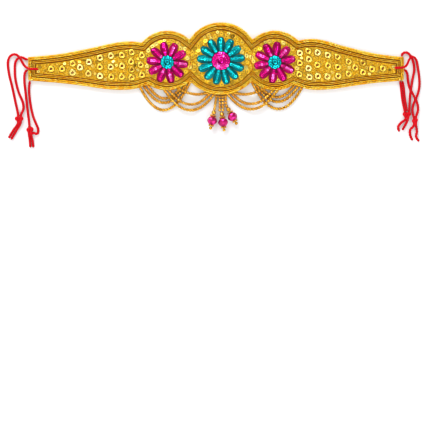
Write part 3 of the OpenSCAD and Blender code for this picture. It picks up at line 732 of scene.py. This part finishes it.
def makeBraid(name):
    look, braid = braids[name], name + "_braid"
    foot, rise, half, sides = look["foot"], look["rise"], look["half"], look["sides"]
    stations = strandLook["stations"]
    t = np.linspace(-1, 1, stations)
    rows, beds = [], []
    for lean, depth in zip((1, -1), look["rows"]):
        line = np.stack([lean * look["lead"] * t, half * np.sin(t * math.pi / 2),
                         foot + rise * np.cos(t * math.pi / 2) ** 0.8], axis=1)
        strand = tube(line, look["radius"] * (1 - strandLook["taper"] * np.abs(t) ** 3), sides)
        loop = inset(outline, depth)
        rows.append(laidStrands(loop, strand, look["pitch"]))
        beds.append(braidBed(loop[::3], foot, rise, half))
    shape = joined(*rows)
    station, around = np.divmod(np.arange(stations * sides), sides)
    wires = np.minimum(around, sides - around) * 0.8 + station * 0.08  # laid wires turn slowly
    uv = np.tile(np.stack([station / 3, wires], axis=1), (len(shape[0]) // len(wires), 1))
    makePiece(braid + "_strands", shape, name + "Strand", braid, uv)
    # the core in the darker gold: painted shade in the gaps between the strands
    makePiece(braid + "_core", joined(*beds), "seamGoldAndCoreShade")
    # a couching thread inside the rows: real thread, drawn dark as a painted shadow line
    thread = braidBed(inset(outline, look["couched"])[::3], **couching)
    makePiece(name + "_couching_thread_and_shadow", thread, "couching")


makeBraid("outer")
makeBraid("inner")
print("braids laid")


# Seams: a twisted gilt cord from cusp to cusp between the medallions

seamLook = {
    "thick": 0.9,
    "twist": 2.6,
    "sway": 0.7,
    "sways": 3,
    "depth": 8.0,  # of its ends, in from the edge
    "cusps": 33,  # x of the cusps, which are looked for this near to it:
    "near": 8,
    "lift": 0.35,
}


def makeSeams():
    inner = inset(outline, seamLook["depth"])
    shapes = []
    for side in (-1, 1):
        near = inner[np.abs(inner[:, 0] - side * seamLook["cusps"]) < seamLook["near"]]
        upper, lower = near[near[:, 1] > 0], near[near[:, 1] < 0]
        top, bottom = upper[upper[:, 1].argmin()], lower[lower[:, 1].argmax()]
        route = []
        for t in np.linspace(0, 1, 9):
            x, y = top + (bottom - top) * t
            x += side * seamLook["sway"] * math.sin(t * seamLook["sways"] * math.pi)
            route.append((x, y, faceAt(x, y)[0] + seamLook["lift"]))
        shapes.append(twoPly(smoothLine(route, 0.4), seamLook["thick"], seamLook["twist"])[0])
    makePiece("medallion_seams", joined(*shapes), "seamGoldAndCoreShade")


makeSeams()
print("seams corded")


# Flowers: padded petals with a row of sequins down each, round a sequinned boss

flowers = {
    # name: (petals, first petal's turn, outer radius, boss radius, petals' colour, boss's colour)
    "left": (10, 102, 22.4, 7.0, "magenta", "teal"),
    "centre": (13, 91, 25.8, 9.8, "teal", "magenta"),
    "right": (10, 82.5, 22.4, 7.0, "magenta", "teal"),
}
petalLook = {
    "wide": 9.2,
    "tall": 2.3,
    "lift": 0.18,  # above the ground
    "gap": 0.24,  # kept from the boss
    "root": 0.58,  # its width at the boss, as a share of the widest
    "widest": 0.62,  # where it is widest, as a share of its length
    "shoulder": 0.52,  # where its round end begins
    "along": 19,  # points of its mesh
    "across": 15,
    "sequins": 5,
    "sequinSize": 3.5,
    "sequinLift": 0.3,
    "sequinLean": 0.2,  # towards the tip
    "sequinStray": (0.14, 0.09),  # sideways and lengthways
    "scales": 5,  # on each flank
    "scaleSize": 3.1,
    "scaleFrom": 0.36,  # where the first is, and the step to the next, as shares of the length
    "scaleStep": 0.125,
    "scaleLean": 0.85,
    "scaleStray": 0.05,
    "flank": 0.66,  # how far out they are, as a share of its half width
    "stitch": 0.88,  # where the tying stitch is
}
bossLook = {
    "tall": 3.2,
    "bare": 0.35,  # what its sequins add to that of the pad
    "lift": 0.14,
    "discs": 1.9,  # radius of its sequins
    "apart": 1.45,  # their spacing, as a share of that
    "overlap": 0.13,  # how they lean on each other
    "stray": 0.02,
    "discLift": 0.25,
    "wideCup": 0.36,  # radius of the cup on top, as a share of the boss's
    "smallCup": 0.5,
    "cupLift": 0.12,
    # a row of them: how far out, how high, how they lean, and half a step on or not
    "wideRows": ((0.83, 0.56, 0.42, 0), (0.57, 0.86, 0.22, 0.5), (0.38, 1.0, 0.1, 0)),
    "smallRows": ((0.78, 0.6, 0.4, 0), (0.46, 0.93, 0.16, 0.5)),
    "wideFrom": 8,
}
sequinDisc = lathe([(0.19, -0.02), (0.2, 0.02), (0.55, 0.04), (0.93, 0.11), (1.0, 0.1), (0.93, 0.05)],
                   18, closed=True)
scaleDisc = lathe([(0.02, 0.0), (0.5, 0.02), (0.93, 0.08), (1.0, 0.07), (0.93, 0.02)], 14)
upright = np.array((0, 0, 1))


def flowerMiddle(name):
    return middleOf(cadShape(name + "_boss")[0])[:2]


def roundEnd(share, start):
    # falls in a round end from 1 at start to 0 at the tip
    return np.sqrt(np.clip(1 - (np.clip(share - start, 0, 1) / (1 - start)) ** 2, 0, 1))


def petalHalf(share, r, count):
    # a petal's half width at a share of its length, at radius r
    root = petalLook["root"]
    opening = root + (1 - root) * np.sin(np.clip(share / petalLook["widest"], 0, 1) * math.pi / 2)
    broad = opening * roundEnd(share, petalLook["shoulder"]) * petalLook["wide"] / 2
    return np.minimum(broad + 0.05, r * math.tan(math.pi / count) - 0.1)


def onPetals(spots, spare):
    # which spots lie on or near any flower
    hit = np.zeros(len(spots), bool)
    for name, (count, turn, outer, inner, _, _) in flowers.items():
        d = spots - flowerMiddle(name)
        r = np.hypot(*d.T)
        step = 2 * math.pi / count
        off = (np.arctan2(d[:, 1], d[:, 0]) - math.radians(turn) + step / 2) % step - step / 2
        along, across = r * np.cos(off), np.abs(r * np.sin(off))
        share = (along - inner) / (outer - inner)
        near = (share > 0) & (share < 1 + spare / (outer - inner))
        half = petalHalf(np.clip(share, 0, 1), along, count)
        hit |= (r < inner + spare) | (near & (across < half + spare))
    return hit


def makePetals(name):
    count, turn, outer, inner, color, _ = flowers[name]
    at = flowerMiddle(name)
    start = inner + petalLook["gap"]
    sideways, lengthways = petalLook["sequinStray"]
    shares = 0.5 - 0.5 * np.cos(np.linspace(0, math.pi, petalLook["along"]))
    acrosses = np.sin(np.linspace(-1, 1, petalLook["across"]) * math.pi / 2)
    pads, uvs, discs, scales, ties = [], [], [], [], []
    rng = np.random.default_rng(len(name) * 7 + count)
    for k in range(count):
        angle = math.radians(turn + 360 / count * k)
        ahead, side = spoke(angle)

        def onPetal(share, across):
            # a point on the pad's face; across runs from -1 to 1
            r = start + share * (outer - start)
            half = float(petalHalf(share, r, count))
            p = np.append(at, 0) + ahead * r + side * half * across
            tall = (0.86 + 0.14 * math.sin(min(share / 0.4, 1) * math.pi / 2)) * petalLook["tall"]
            tall *= 0.12 + 0.88 * float(roundEnd(share, 0.56))
            p[2] = faceAt(p[0], p[1])[0] + petalLook["lift"] + tall * (1 - abs(across) ** 2.6) ** 0.55
            return p

        face = np.array([[onPetal(s, c) for c in acrosses] for s in shares])
        foot = face[:, ::-1].copy()
        foot[..., 2] = np.minimum(foot[..., 2], face[:, :1, 2] - 0.02)
        pads.append(skin(np.concatenate([face, foot[:, 1:-1]], axis=1)))
        across = np.concatenate([acrosses, acrosses[::-1][1:-1]])
        uvs.append(np.stack([np.tile(across, len(shares)), np.repeat(shares, len(across))], axis=1))
        for i in range(petalLook["sequins"]):
            share = (i + 0.55) / (petalLook["sequins"] + 0.7)
            p = onPetal(share, 0)
            slope = onPetal(share + 0.04, 0) - onPetal(share - 0.04, 0)
            up = unit(np.cross(slope, side) * -1)
            up = up if up[2] > 0 else -up
            up = up + ahead * petalLook["sequinLean"]
            up = unit(up + side * rng.normal(0, sideways) + ahead * rng.normal(0, lengthways))
            size = petalLook["sequinSize"] / 2 * (1 - 0.03 * abs(i - 1))
            discs.append((facing(up, rng.uniform(0, 6)) * size, p + up * petalLook["sequinLift"]))
        for i in range(petalLook["scales"]):
            for s in (-1, 1):
                share = petalLook["scaleFrom"] + petalLook["scaleStep"] * i
                p = onPetal(share, petalLook["flank"] * s)
                forward = 0.12 + 0.3 * max(0, share - 0.7)  # more so near the tip
                up = unit(upright + side * s * petalLook["scaleLean"] + ahead * forward)
                up = unit(up + rng.normal(0, petalLook["scaleStray"], 3))
                scales.append((facing(up, rng.uniform(0, 6)) * petalLook["scaleSize"] / 2, p - up * 0.06))
        ties.append((facing(upright, angle), onPetal(petalLook["stitch"], 0) + upright * 0.12))
    made = makePiece(name + "_petal_pads", joined(*pads), color + "Pad",
                     name + "_petals", np.concatenate(uvs))
    makePiece(name + "_petal_sequins", many(sequinDisc, discs), color + "Foil")
    # the flank scales in the darker foil: painted shade on the petals' sloping sides
    makePiece(name + "_petal_scales", many(scaleDisc, scales), color + "Shaded")
    stitch = tube(np.array([(-0.4, 0, 0), (-0.1, 0, 0.16), (0.2, 0, 0.14), (0.4, 0, 0)]),
                  [0.1, 0.16, 0.16, 0.1], 5)
    makePiece(name + "_petal_stitches", many(stitch, ties), "stitch")
    span = outer - inner
    rings = []
    for r, lift in ((inner - 0.4, -0.1), (inner - 0.4, 0.1), (inner + 0.25 * span, 0.08),
                    (inner + 0.46 * span, 0.04), (inner + 0.46 * span, -0.1)):
        spots = [at + spoke(a)[0][:2] * r for a in turns(72)]
        rings.append([(x, y, faceAt(x, y)[0] + lift) for x, y in spots])
    # the bed in the darker thread: painted shade low between the petals
    makePiece(name + "_petal_bed", skin(rings, closed=True), color + "ShadedBed")


def makeBoss(name):
    _, _, _, size, _, color = flowers[name]
    wide = size > bossLook["wideFrom"]
    at = flowerMiddle(name)
    base = faceAt(*at)[0] + bossLook["lift"]
    tall = bossLook["tall"] - bossLook["bare"]
    points, tables = lathe([(0.02, tall), (0.3 * size, tall * 0.97), (0.55 * size, tall * 0.88),
                            (0.78 * size, tall * 0.7), (0.92 * size, tall * 0.44),
                            (0.97 * size, 0.2), (0.96 * size, 0)], 40)
    dome = makePiece(name + "_boss_pad", (points + (at[0], at[1], base), tables),
                     color + "Pad", name + "_boss")
    rng = np.random.default_rng(int(size * 10))
    disc = bossLook["discs"]
    rows = []
    for reach, lift, lean, turn in bossLook["wideRows" if wide else "smallRows"]:
        count = round(2 * math.pi * reach * size / (disc * bossLook["apart"]))
        places = []
        for k in range(count):
            out, onward = spoke(2 * math.pi * (k + turn) / count)
            up = upright + out * lean + onward * bossLook["overlap"]
            up = unit(up + rng.normal(0, bossLook["stray"], 3))
            p = np.append(at, base) + out * reach * size
            p[2] += lift * tall + bossLook["discLift"]
            places.append((facing(up, 0) * disc, p))
        rows.append(many(scaleDisc if reach < 0.4 else sequinDisc, places))
    makePiece(name + "_boss_sequins", joined(*rows), color + "Foil")
    points, tables = lathe([(0.02, 0.16), (0.16, 0.15), (0.2, 0.02), (0.42, 0.03), (0.74, 0.18),
                            (0.97, 0.36), (1.0, 0.32), (0.6, 0.0)], 12, closed=True)
    points = points + np.outer(np.hypot(points[:, 0], points[:, 1]) > 0.5, (0, 0, 0.03))
    cup = bossLook["wideCup" if wide else "smallCup"] * size
    points = points * cup + (at[0], at[1], base + tall + bossLook["cupLift"])
    makePiece(name + "_boss_cup", (points, tables), color + "Cup", smooth=False)


for name in flowers:
    makePetals(name)
    makeBoss(name)
print("flowers made")


# Sequins on the ground: large ringed ones on the wings, thin ones scattered round the flowers

sequinLook = {
    "scattered": ((4.7, 4.5, 1.9), (3.6, 3.5, 1.3)),  # size, spacing, and room left to the petals
    "small": 3.3,  # a few on the wings
    "smallApart": 5,
    "medallions": 81,  # x where the wings begin
    "band": 8.1,  # the braids' width
    "room": 3.4,  # left to the middle of a ringed sequin, and for a small one this much:
    "smallRoom": 5.6,
    "rim": 0.1,  # how far one may reach under the braids
    "smallRim": 1.8,  # how far a small one's middle keeps from them
    "outline": 0.24,  # width of the painted shadow line round each
    "lift": 0.32,  # and up to this much more:
    "liftStray": 0.22,
    "stray": 0.13,
    "ringStray": 0.035,
    "ringBead": 0.3,  # height of a ringed one's bead over the face
}

# The places that sequins and stitches may take on the ground, an uneven grid inside the braids

places = {
    "x": (-200, 192),
    "y": (-42, 38),
    "step": 0.8,
    "stray": 0.4,
}
ground = inset(outline, sequinLook["band"])
columns, rows = (np.arange(*places[k], places["step"]) for k in "xy")
grid = np.stack(np.meshgrid(columns, rows), axis=-1).reshape(-1, 2)
grid = grid + np.random.default_rng(3).uniform(-places["stray"], places["stray"], grid.shape)
grid = grid[within(ground, grid)]
print("ground spots,", len(grid))


def makeWingSequins():
    ring = lathe([(1.34, 0.1), (1.36, 0.62), (1.62, 0.84), (2.2, 0.96), (2.8, 0.99), (3.2, 0.92),
                  (3.46, 0.7), (3.5, 0.5), (3.3, 0.4)], 32, closed=True)
    # a dark disc under each ring: a painted shadow round its edge, and painted shade in its hole
    under = lathe([(0.02, 0.42), (1.2, 0.4), (3.5, 0.44), (3.8, 0.3), (3.85, 0.0)], 28)
    bead = lathe([(0.02, 0.85), (0.24, 0.82), (0.46, 0.68), (0.56, 0.45), (0.5, 0.2)], 12)
    large = []
    for side in ("left", "right"):
        rng = np.random.default_rng(11)
        rings, beds, beads = [], [], []
        for solid in cadSolids(side + "_wing_sequins"):
            p = middleOf(solid)
            p[2] = solid[:, 2].min()
            large.append(p[:2])
            z, normal = faceAt(p[0], p[1])
            up = unit(normal + rng.normal(0, sequinLook["ringStray"], 3))
            rings.append((facing(up, rng.uniform(0, 6)), p))
            beds.append((facing(up), p))
            beads.append((np.eye(3), (p[0], p[1], z + sequinLook["ringBead"])))
        makePiece(side + "_wing_rings", many(ring, rings), "ringFoil",
                  side + "_wing_sequins")
        # the dark discs under the rings: painted shadow
        makePiece(side + "_wing_ring_shadow_beds", many(under, beds), "thread")
        makePiece(side + "_wing_ring_beads", many(bead, beads), "bead")
    return np.array(large)


def makeScattered(large):
    rng = np.random.default_rng(5)
    disc = lathe([(0.26, 0.0), (0.28, 0.06), (0.36, 0.07), (0.9, 0.085), (0.98, 0.07), (1.0, 0.04),
                  (0.9, 0.02)], 20, closed=True)
    bead = lathe([(0.02, 0.38), (0.24, 0.34), (0.42, 0.2), (0.42, 0.05), (0.2, -0.1)], 8)
    under = lathe([(0.02, 0.03), (0.97, 0.03), (1.0, 0.0), (0.9, -0.1)], 14)
    rim, away = nearest(grid, ground), nearest(grid, large)
    medallions = np.abs(grid[:, 0]) < sequinLook["medallions"]
    spots = []
    for size, apart, spare in sequinLook["scattered"]:
        clear = (rim > size / 2 - sequinLook["rim"]) & (away > sequinLook["room"] + size / 2)
        for p in rng.permutation(grid[medallions & ~onPetals(grid, spare) & clear]):
            if all(np.hypot(*(p - q)) > apart + (other - size) / 2 for q, other in spots):
                spots.append((p, size))
    clear = (rim > sequinLook["smallRim"]) & (away > sequinLook["smallRoom"])
    for p in rng.permutation(grid[~medallions & clear]):
        if all(np.hypot(*(p - q)) > sequinLook["smallApart"] for q, _ in spots):
            spots.append((p, sequinLook["small"]))
    discs, beads, beds = [], [], []
    for p, size in spots:
        z, normal = faceAt(*p)
        up = unit(normal + np.append(rng.normal(0, sequinLook["stray"], 2), 0))
        at = np.array((p[0], p[1], z + sequinLook["lift"] + rng.uniform(0, sequinLook["liftStray"])))
        discs.append((facing(up, rng.uniform(0, 6)) * size / 2, at))
        beads.append((facing(up), at))
        # a dark disc under each: a painted shadow round its edge and round its bead
        beds.append((facing(up) * (size / 2 + sequinLook["outline"]), at - up * 0.06))
    makePiece("scattered_sequins", many(disc, discs), "goldFoil")
    makePiece("scattered_sequin_beads", many(bead, beads), "smallBead")
    # the dark discs under the sequins: painted shadow
    makePiece("scattered_sequin_shadow_beds", many(under, beds), "couching")
    print("scattered sequins,", len(spots))


ringPlaces = makeWingSequins()
print("ringed sequins,", len(ringPlaces))
makeScattered(ringPlaces)


# Zari stitches: short raised loops of gilt thread over the whole ground

stitchLook = {
    "long": 1.5,
    "thick": 0.36,
    "tall": 0.24,
    "sunk": 0.02,  # how deep its ends are in the cloth
    "byPetals": 0.5,  # room left to a petal
    "byRings": 3.3,  # and to the middle of a ringed sequin
    "partsAt": 66,  # x where the middle's stitches end and a wing's begin
    "flow": 9,  # the stitches turn together over about this length
    "turn": 5,
    "stray": 0.7,
}


def makeStitches(large):
    rng = np.random.default_rng(21)
    t = np.linspace(-1, 1, 4)
    height = stitchLook["tall"] * (1 - t * t) - stitchLook["sunk"]
    line = np.stack([t * stitchLook["long"] / 2, 0 * t, height], axis=1)
    loop = tube(line, stitchLook["thick"] / 2 * np.array([0.7, 1, 1, 0.7]), 4)
    covered = nearest(grid, large) < stitchLook["byRings"]
    spots = grid[~onPetals(grid, stitchLook["byPetals"]) & ~covered]
    x, end = spots[:, 0], stitchLook["partsAt"]
    for name, chosen in (("left", x < -end), ("middle", np.abs(x) <= end), ("right", x > end)):
        places = []
        for p in spots[chosen]:
            z, normal = faceAt(*p)
            at = Vector((p[0] / stitchLook["flow"], p[1] / stitchLook["flow"], 3))
            spin = noise.noise(at) * stitchLook["turn"] + rng.normal(0, stitchLook["stray"])
            places.append((facing(normal, spin), (p[0], p[1], z + rng.uniform(0.02, 0.16))))
        makePiece("zari_stitches_" + name, many(loop, places), "stitch")


makeStitches(ringPlaces)
print("ground stitched")


# Bead swags, on their threads below the medallions

beadLook = {
    "size": 3.45,
    "pitch": 3.03,
    "tuck": 0.9,  # how far on from the last bead one is half under the edge, as a share of the pitch
    "highTuck": 0.66,  # the same for a string that lies over another
    "highFrom": 2.5,  # height of such a string's last bead
    "tuckTop": 2.3,  # a tucked bead's middle is no higher than this
}
beadShape = lathe([(0.14, -0.45), (0.2, -0.455), (0.32, -0.38), (0.42, -0.27), (0.48, -0.14),
                   (0.5, 0.0), (0.48, 0.14), (0.42, 0.27), (0.32, 0.38), (0.2, 0.455),
                   (0.14, 0.45), (0.13, 0.0)], 18, closed=True)
tubeCorners = 8  # round each ring of a string that is packed as a tube


def threaded(middles):
    # a place for each bead of a string, its hole along the string
    ahead = unit(np.gradient(middles, axis=0))
    return [(facing(a) * beadLook["size"], p) for a, p in zip(ahead, middles)]


def makeSwag(node):
    solids = cadSolids(node)
    if len(solids) == 1:
        points = solids[0][np.argsort(solids[0][:, 0])]
        rings = [points[i:i + tubeCorners] for i in range(0, len(points), tubeCorners)]
        middles = evenLine(smoothLine([ring.mean(axis=0) for ring in rings], 0.4), beadLook["pitch"])
    else:
        middles = np.array([middleOf(s) for s in solids])
        middles = middles[np.argsort(middles[:, 0])]
    tucked = []
    for last, before in ((middles[0], middles[1]), (middles[-1], middles[-2])):
        share = beadLook["tuck"] if last[2] < beadLook["highFrom"] else beadLook["highTuck"]
        bead = last + (last - before) * share
        bead[2] = min(last[2], beadLook["tuckTop"])
        tucked.append(bead)
    middles = np.vstack([tucked[0], middles, tucked[1]])
    makePiece(node + "_beads", many(beadShape, threaded(middles)), "bead", node)


for side in ("left", "centre_left", "centre_right", "right"):
    for k in (1, 2, 3):
        makeSwag(side + "_swag_" + str(k))
print("swags strung")


# Drops: gilt bead, ball ring, crystal, ball ring and end bead on a doubled string

dropLook = {
    "large": 5.0,
    "end": 3.4,
    "upperRing": 5.3,
    "lowerRing": 4.5,
    "ball": 1.75,
    "ballGap": 0.12,
}
ballShape = lathe([(0.02, -0.5), (0.2, -0.46), (0.38, -0.33), (0.48, -0.14), (0.5, 0.02),
                   (0.47, 0.18), (0.36, 0.35), (0.2, 0.46), (0.02, 0.5)], 12)


def refinish(node, look):
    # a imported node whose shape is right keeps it, and gets a better material
    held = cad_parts[node].data.materials
    held.clear()
    held.append(finish[look])


def makeDrop(name):
    axis = facing(nodeMiddle(name + "_end_bead") - nodeMiddle(name + "_large_bead"))
    for part in ("large", "end"):
        node = f"{name}_{part}_bead"
        bead = many(beadShape, [(axis * dropLook[part], nodeMiddle(node))])
        makePiece(node + "_gilt", bead, "bead", node)
    for part in ("upper", "lower"):
        node = f"{name}_{part}_ring"
        middle, half = nodeMiddle(node), dropLook[part + "Ring"] / 2
        count = math.floor(math.pi / math.asin((dropLook["ball"] + dropLook["ballGap"]) / (2 * half)))
        places = [(np.eye(3) * dropLook["ball"], middle + axis @ spoke(a)[0] * half)
                  for a in turns(count)]
        core = lathe([(0.6, -0.45), (half - 0.2, -0.45), (half - 0.1, 0), (half - 0.2, 0.45),
                      (0.6, 0.45)], 24, closed=True)
        balls = joined(many(ballShape, places), many(core, [(axis, middle)]))
        makePiece(node + "_balls", balls, "bead", node)
    solids = np.array([middleOf(s) for s in cadSolids(name + "_drop_beads")])
    places = []
    for p in solids:
        near = solids[np.argsort(np.linalg.norm(solids - p, axis=1))[1]]
        places.append((facing(near - p) * beadLook["size"], p))
    makePiece(name + "_drop_string", many(beadShape, places), "bead",
              name + "_drop_beads")
    refinish(name + "_crystal", "glass")


for name in ("left", "centre", "right"):
    makeDrop(name)
    refinish(name + "_drop_thread", "thread")
    refinish(name + "_swag_threads", "thread")
print("drops hung")


# Floor, sky and lamps

studio = {
    "floor": (233, 233, 234),
    "floorReach": 3000,
    "floorLow": 0.2,  # how far under the belt's back it lies
    "sky": 1.3,
    "overhead": 0.86,  # shares of the sky's strength: straight up, round that, and low down
    "around": 1.0,
    "horizon": 0.3,
    "near": 1.55,  # and how much of it there is on the near side and the far side
    "far": 0.4,
    "hood": (0.0, -0.42, 1.0),  # a dim patch, as a camera over the belt makes
    "hoodShade": 0.3,
    "key": 22.0,
    "keySize": 1.0,
    "keyPlace": (-0.5, 1.15, 0.85),  # in metres, as fillPlace
    "fill": 0.22,  # as a share of the key
    "fillSize": 0.9,
    "fillPlace": (0.8, -0.9, 0.9),
}


def grey(v):
    return v, v, v, 1


def makeFloor():
    r = studio["floorReach"]
    corners = np.array([(-r, -r, 0), (r, -r, 0), (r, r, 0), (-r, r, 0)])
    material = newMaterial("floor", color=paint(*studio["floor"]), rough=0.9)[0]
    slab = meshObject("floor", (corners, [np.array([(0, 1, 2, 3)])]), material, smooth=False)
    slab.location.z = -studio["floorLow"] * mm


def makeSky():
    world = bpy.data.worlds.new("studio")
    world.use_nodes = True
    bpy.context.scene.world = world
    tree = world.node_tree
    link = tree.links.new
    where, split = addNode(tree, "TexCoord"), addNode(tree, "SeparateXYZ")
    link(where.outputs["Generated"], split.inputs["Vector"])
    low, around, high = studio["horizon"], studio["around"], studio["overhead"]
    stops = ((0.0, low), (0.1, low), (0.34, low * 1.6), (0.54, around), (0.84, around), (0.95, high),
             (1.0, high))
    rise = ramp(tree, split.outputs["Z"], *((z, grey(v)) for z, v in stops))
    side = addNode(tree, "MapRange", **{"From Min": -0.6, "From Max": 0.6, "To Min": studio["near"],
                                        "To Max": studio["far"]})
    link(split.outputs["Y"], side.inputs["Value"])
    shade = addNode(tree, "VectorMath")
    shade.operation = "SCALE"
    link(rise, shade.inputs["Vector"])
    link(side.outputs["Result"], shade.inputs["Scale"])
    toward = addNode(tree, "VectorMath")
    toward.operation = "DOT_PRODUCT"
    toward.inputs[1].default_value = unit(studio["hood"])
    link(where.outputs["Generated"], toward.inputs[0])
    hood = ramp(tree, toward.outputs["Value"], (0.0, grey(1)), (0.93, grey(1)),
                (0.97, grey(studio["hoodShade"])))
    both = addNode(tree, "VectorMath")
    both.operation = "MULTIPLY"
    link(shade.outputs["Vector"], both.inputs[0])
    link(hood, both.inputs[1])
    background = tree.nodes["Background"]
    background.inputs["Strength"].default_value = studio["sky"]
    link(both.outputs["Vector"], background.inputs["Color"])


def makeLamp(name, place, power, size):
    lamp = bpy.data.lights.new(name, "AREA")
    lamp.energy = power
    lamp.size = size
    holder = addObject(name, lamp)
    holder.location = place
    holder.rotation_euler = (-Vector(place)).to_track_quat("-Z", "Y").to_euler()


makeFloor()
makeSky()
makeLamp("key", studio["keyPlace"], studio["key"], studio["keySize"])
makeLamp("fill", studio["fillPlace"], studio["key"] * studio["fill"], studio["fillSize"])
bpy.context.scene.view_settings.view_transform = "Standard"
bpy.context.scene.cycles.filter_width = 1.0  # keeps the stitches and strands crisp
print("studio lit")
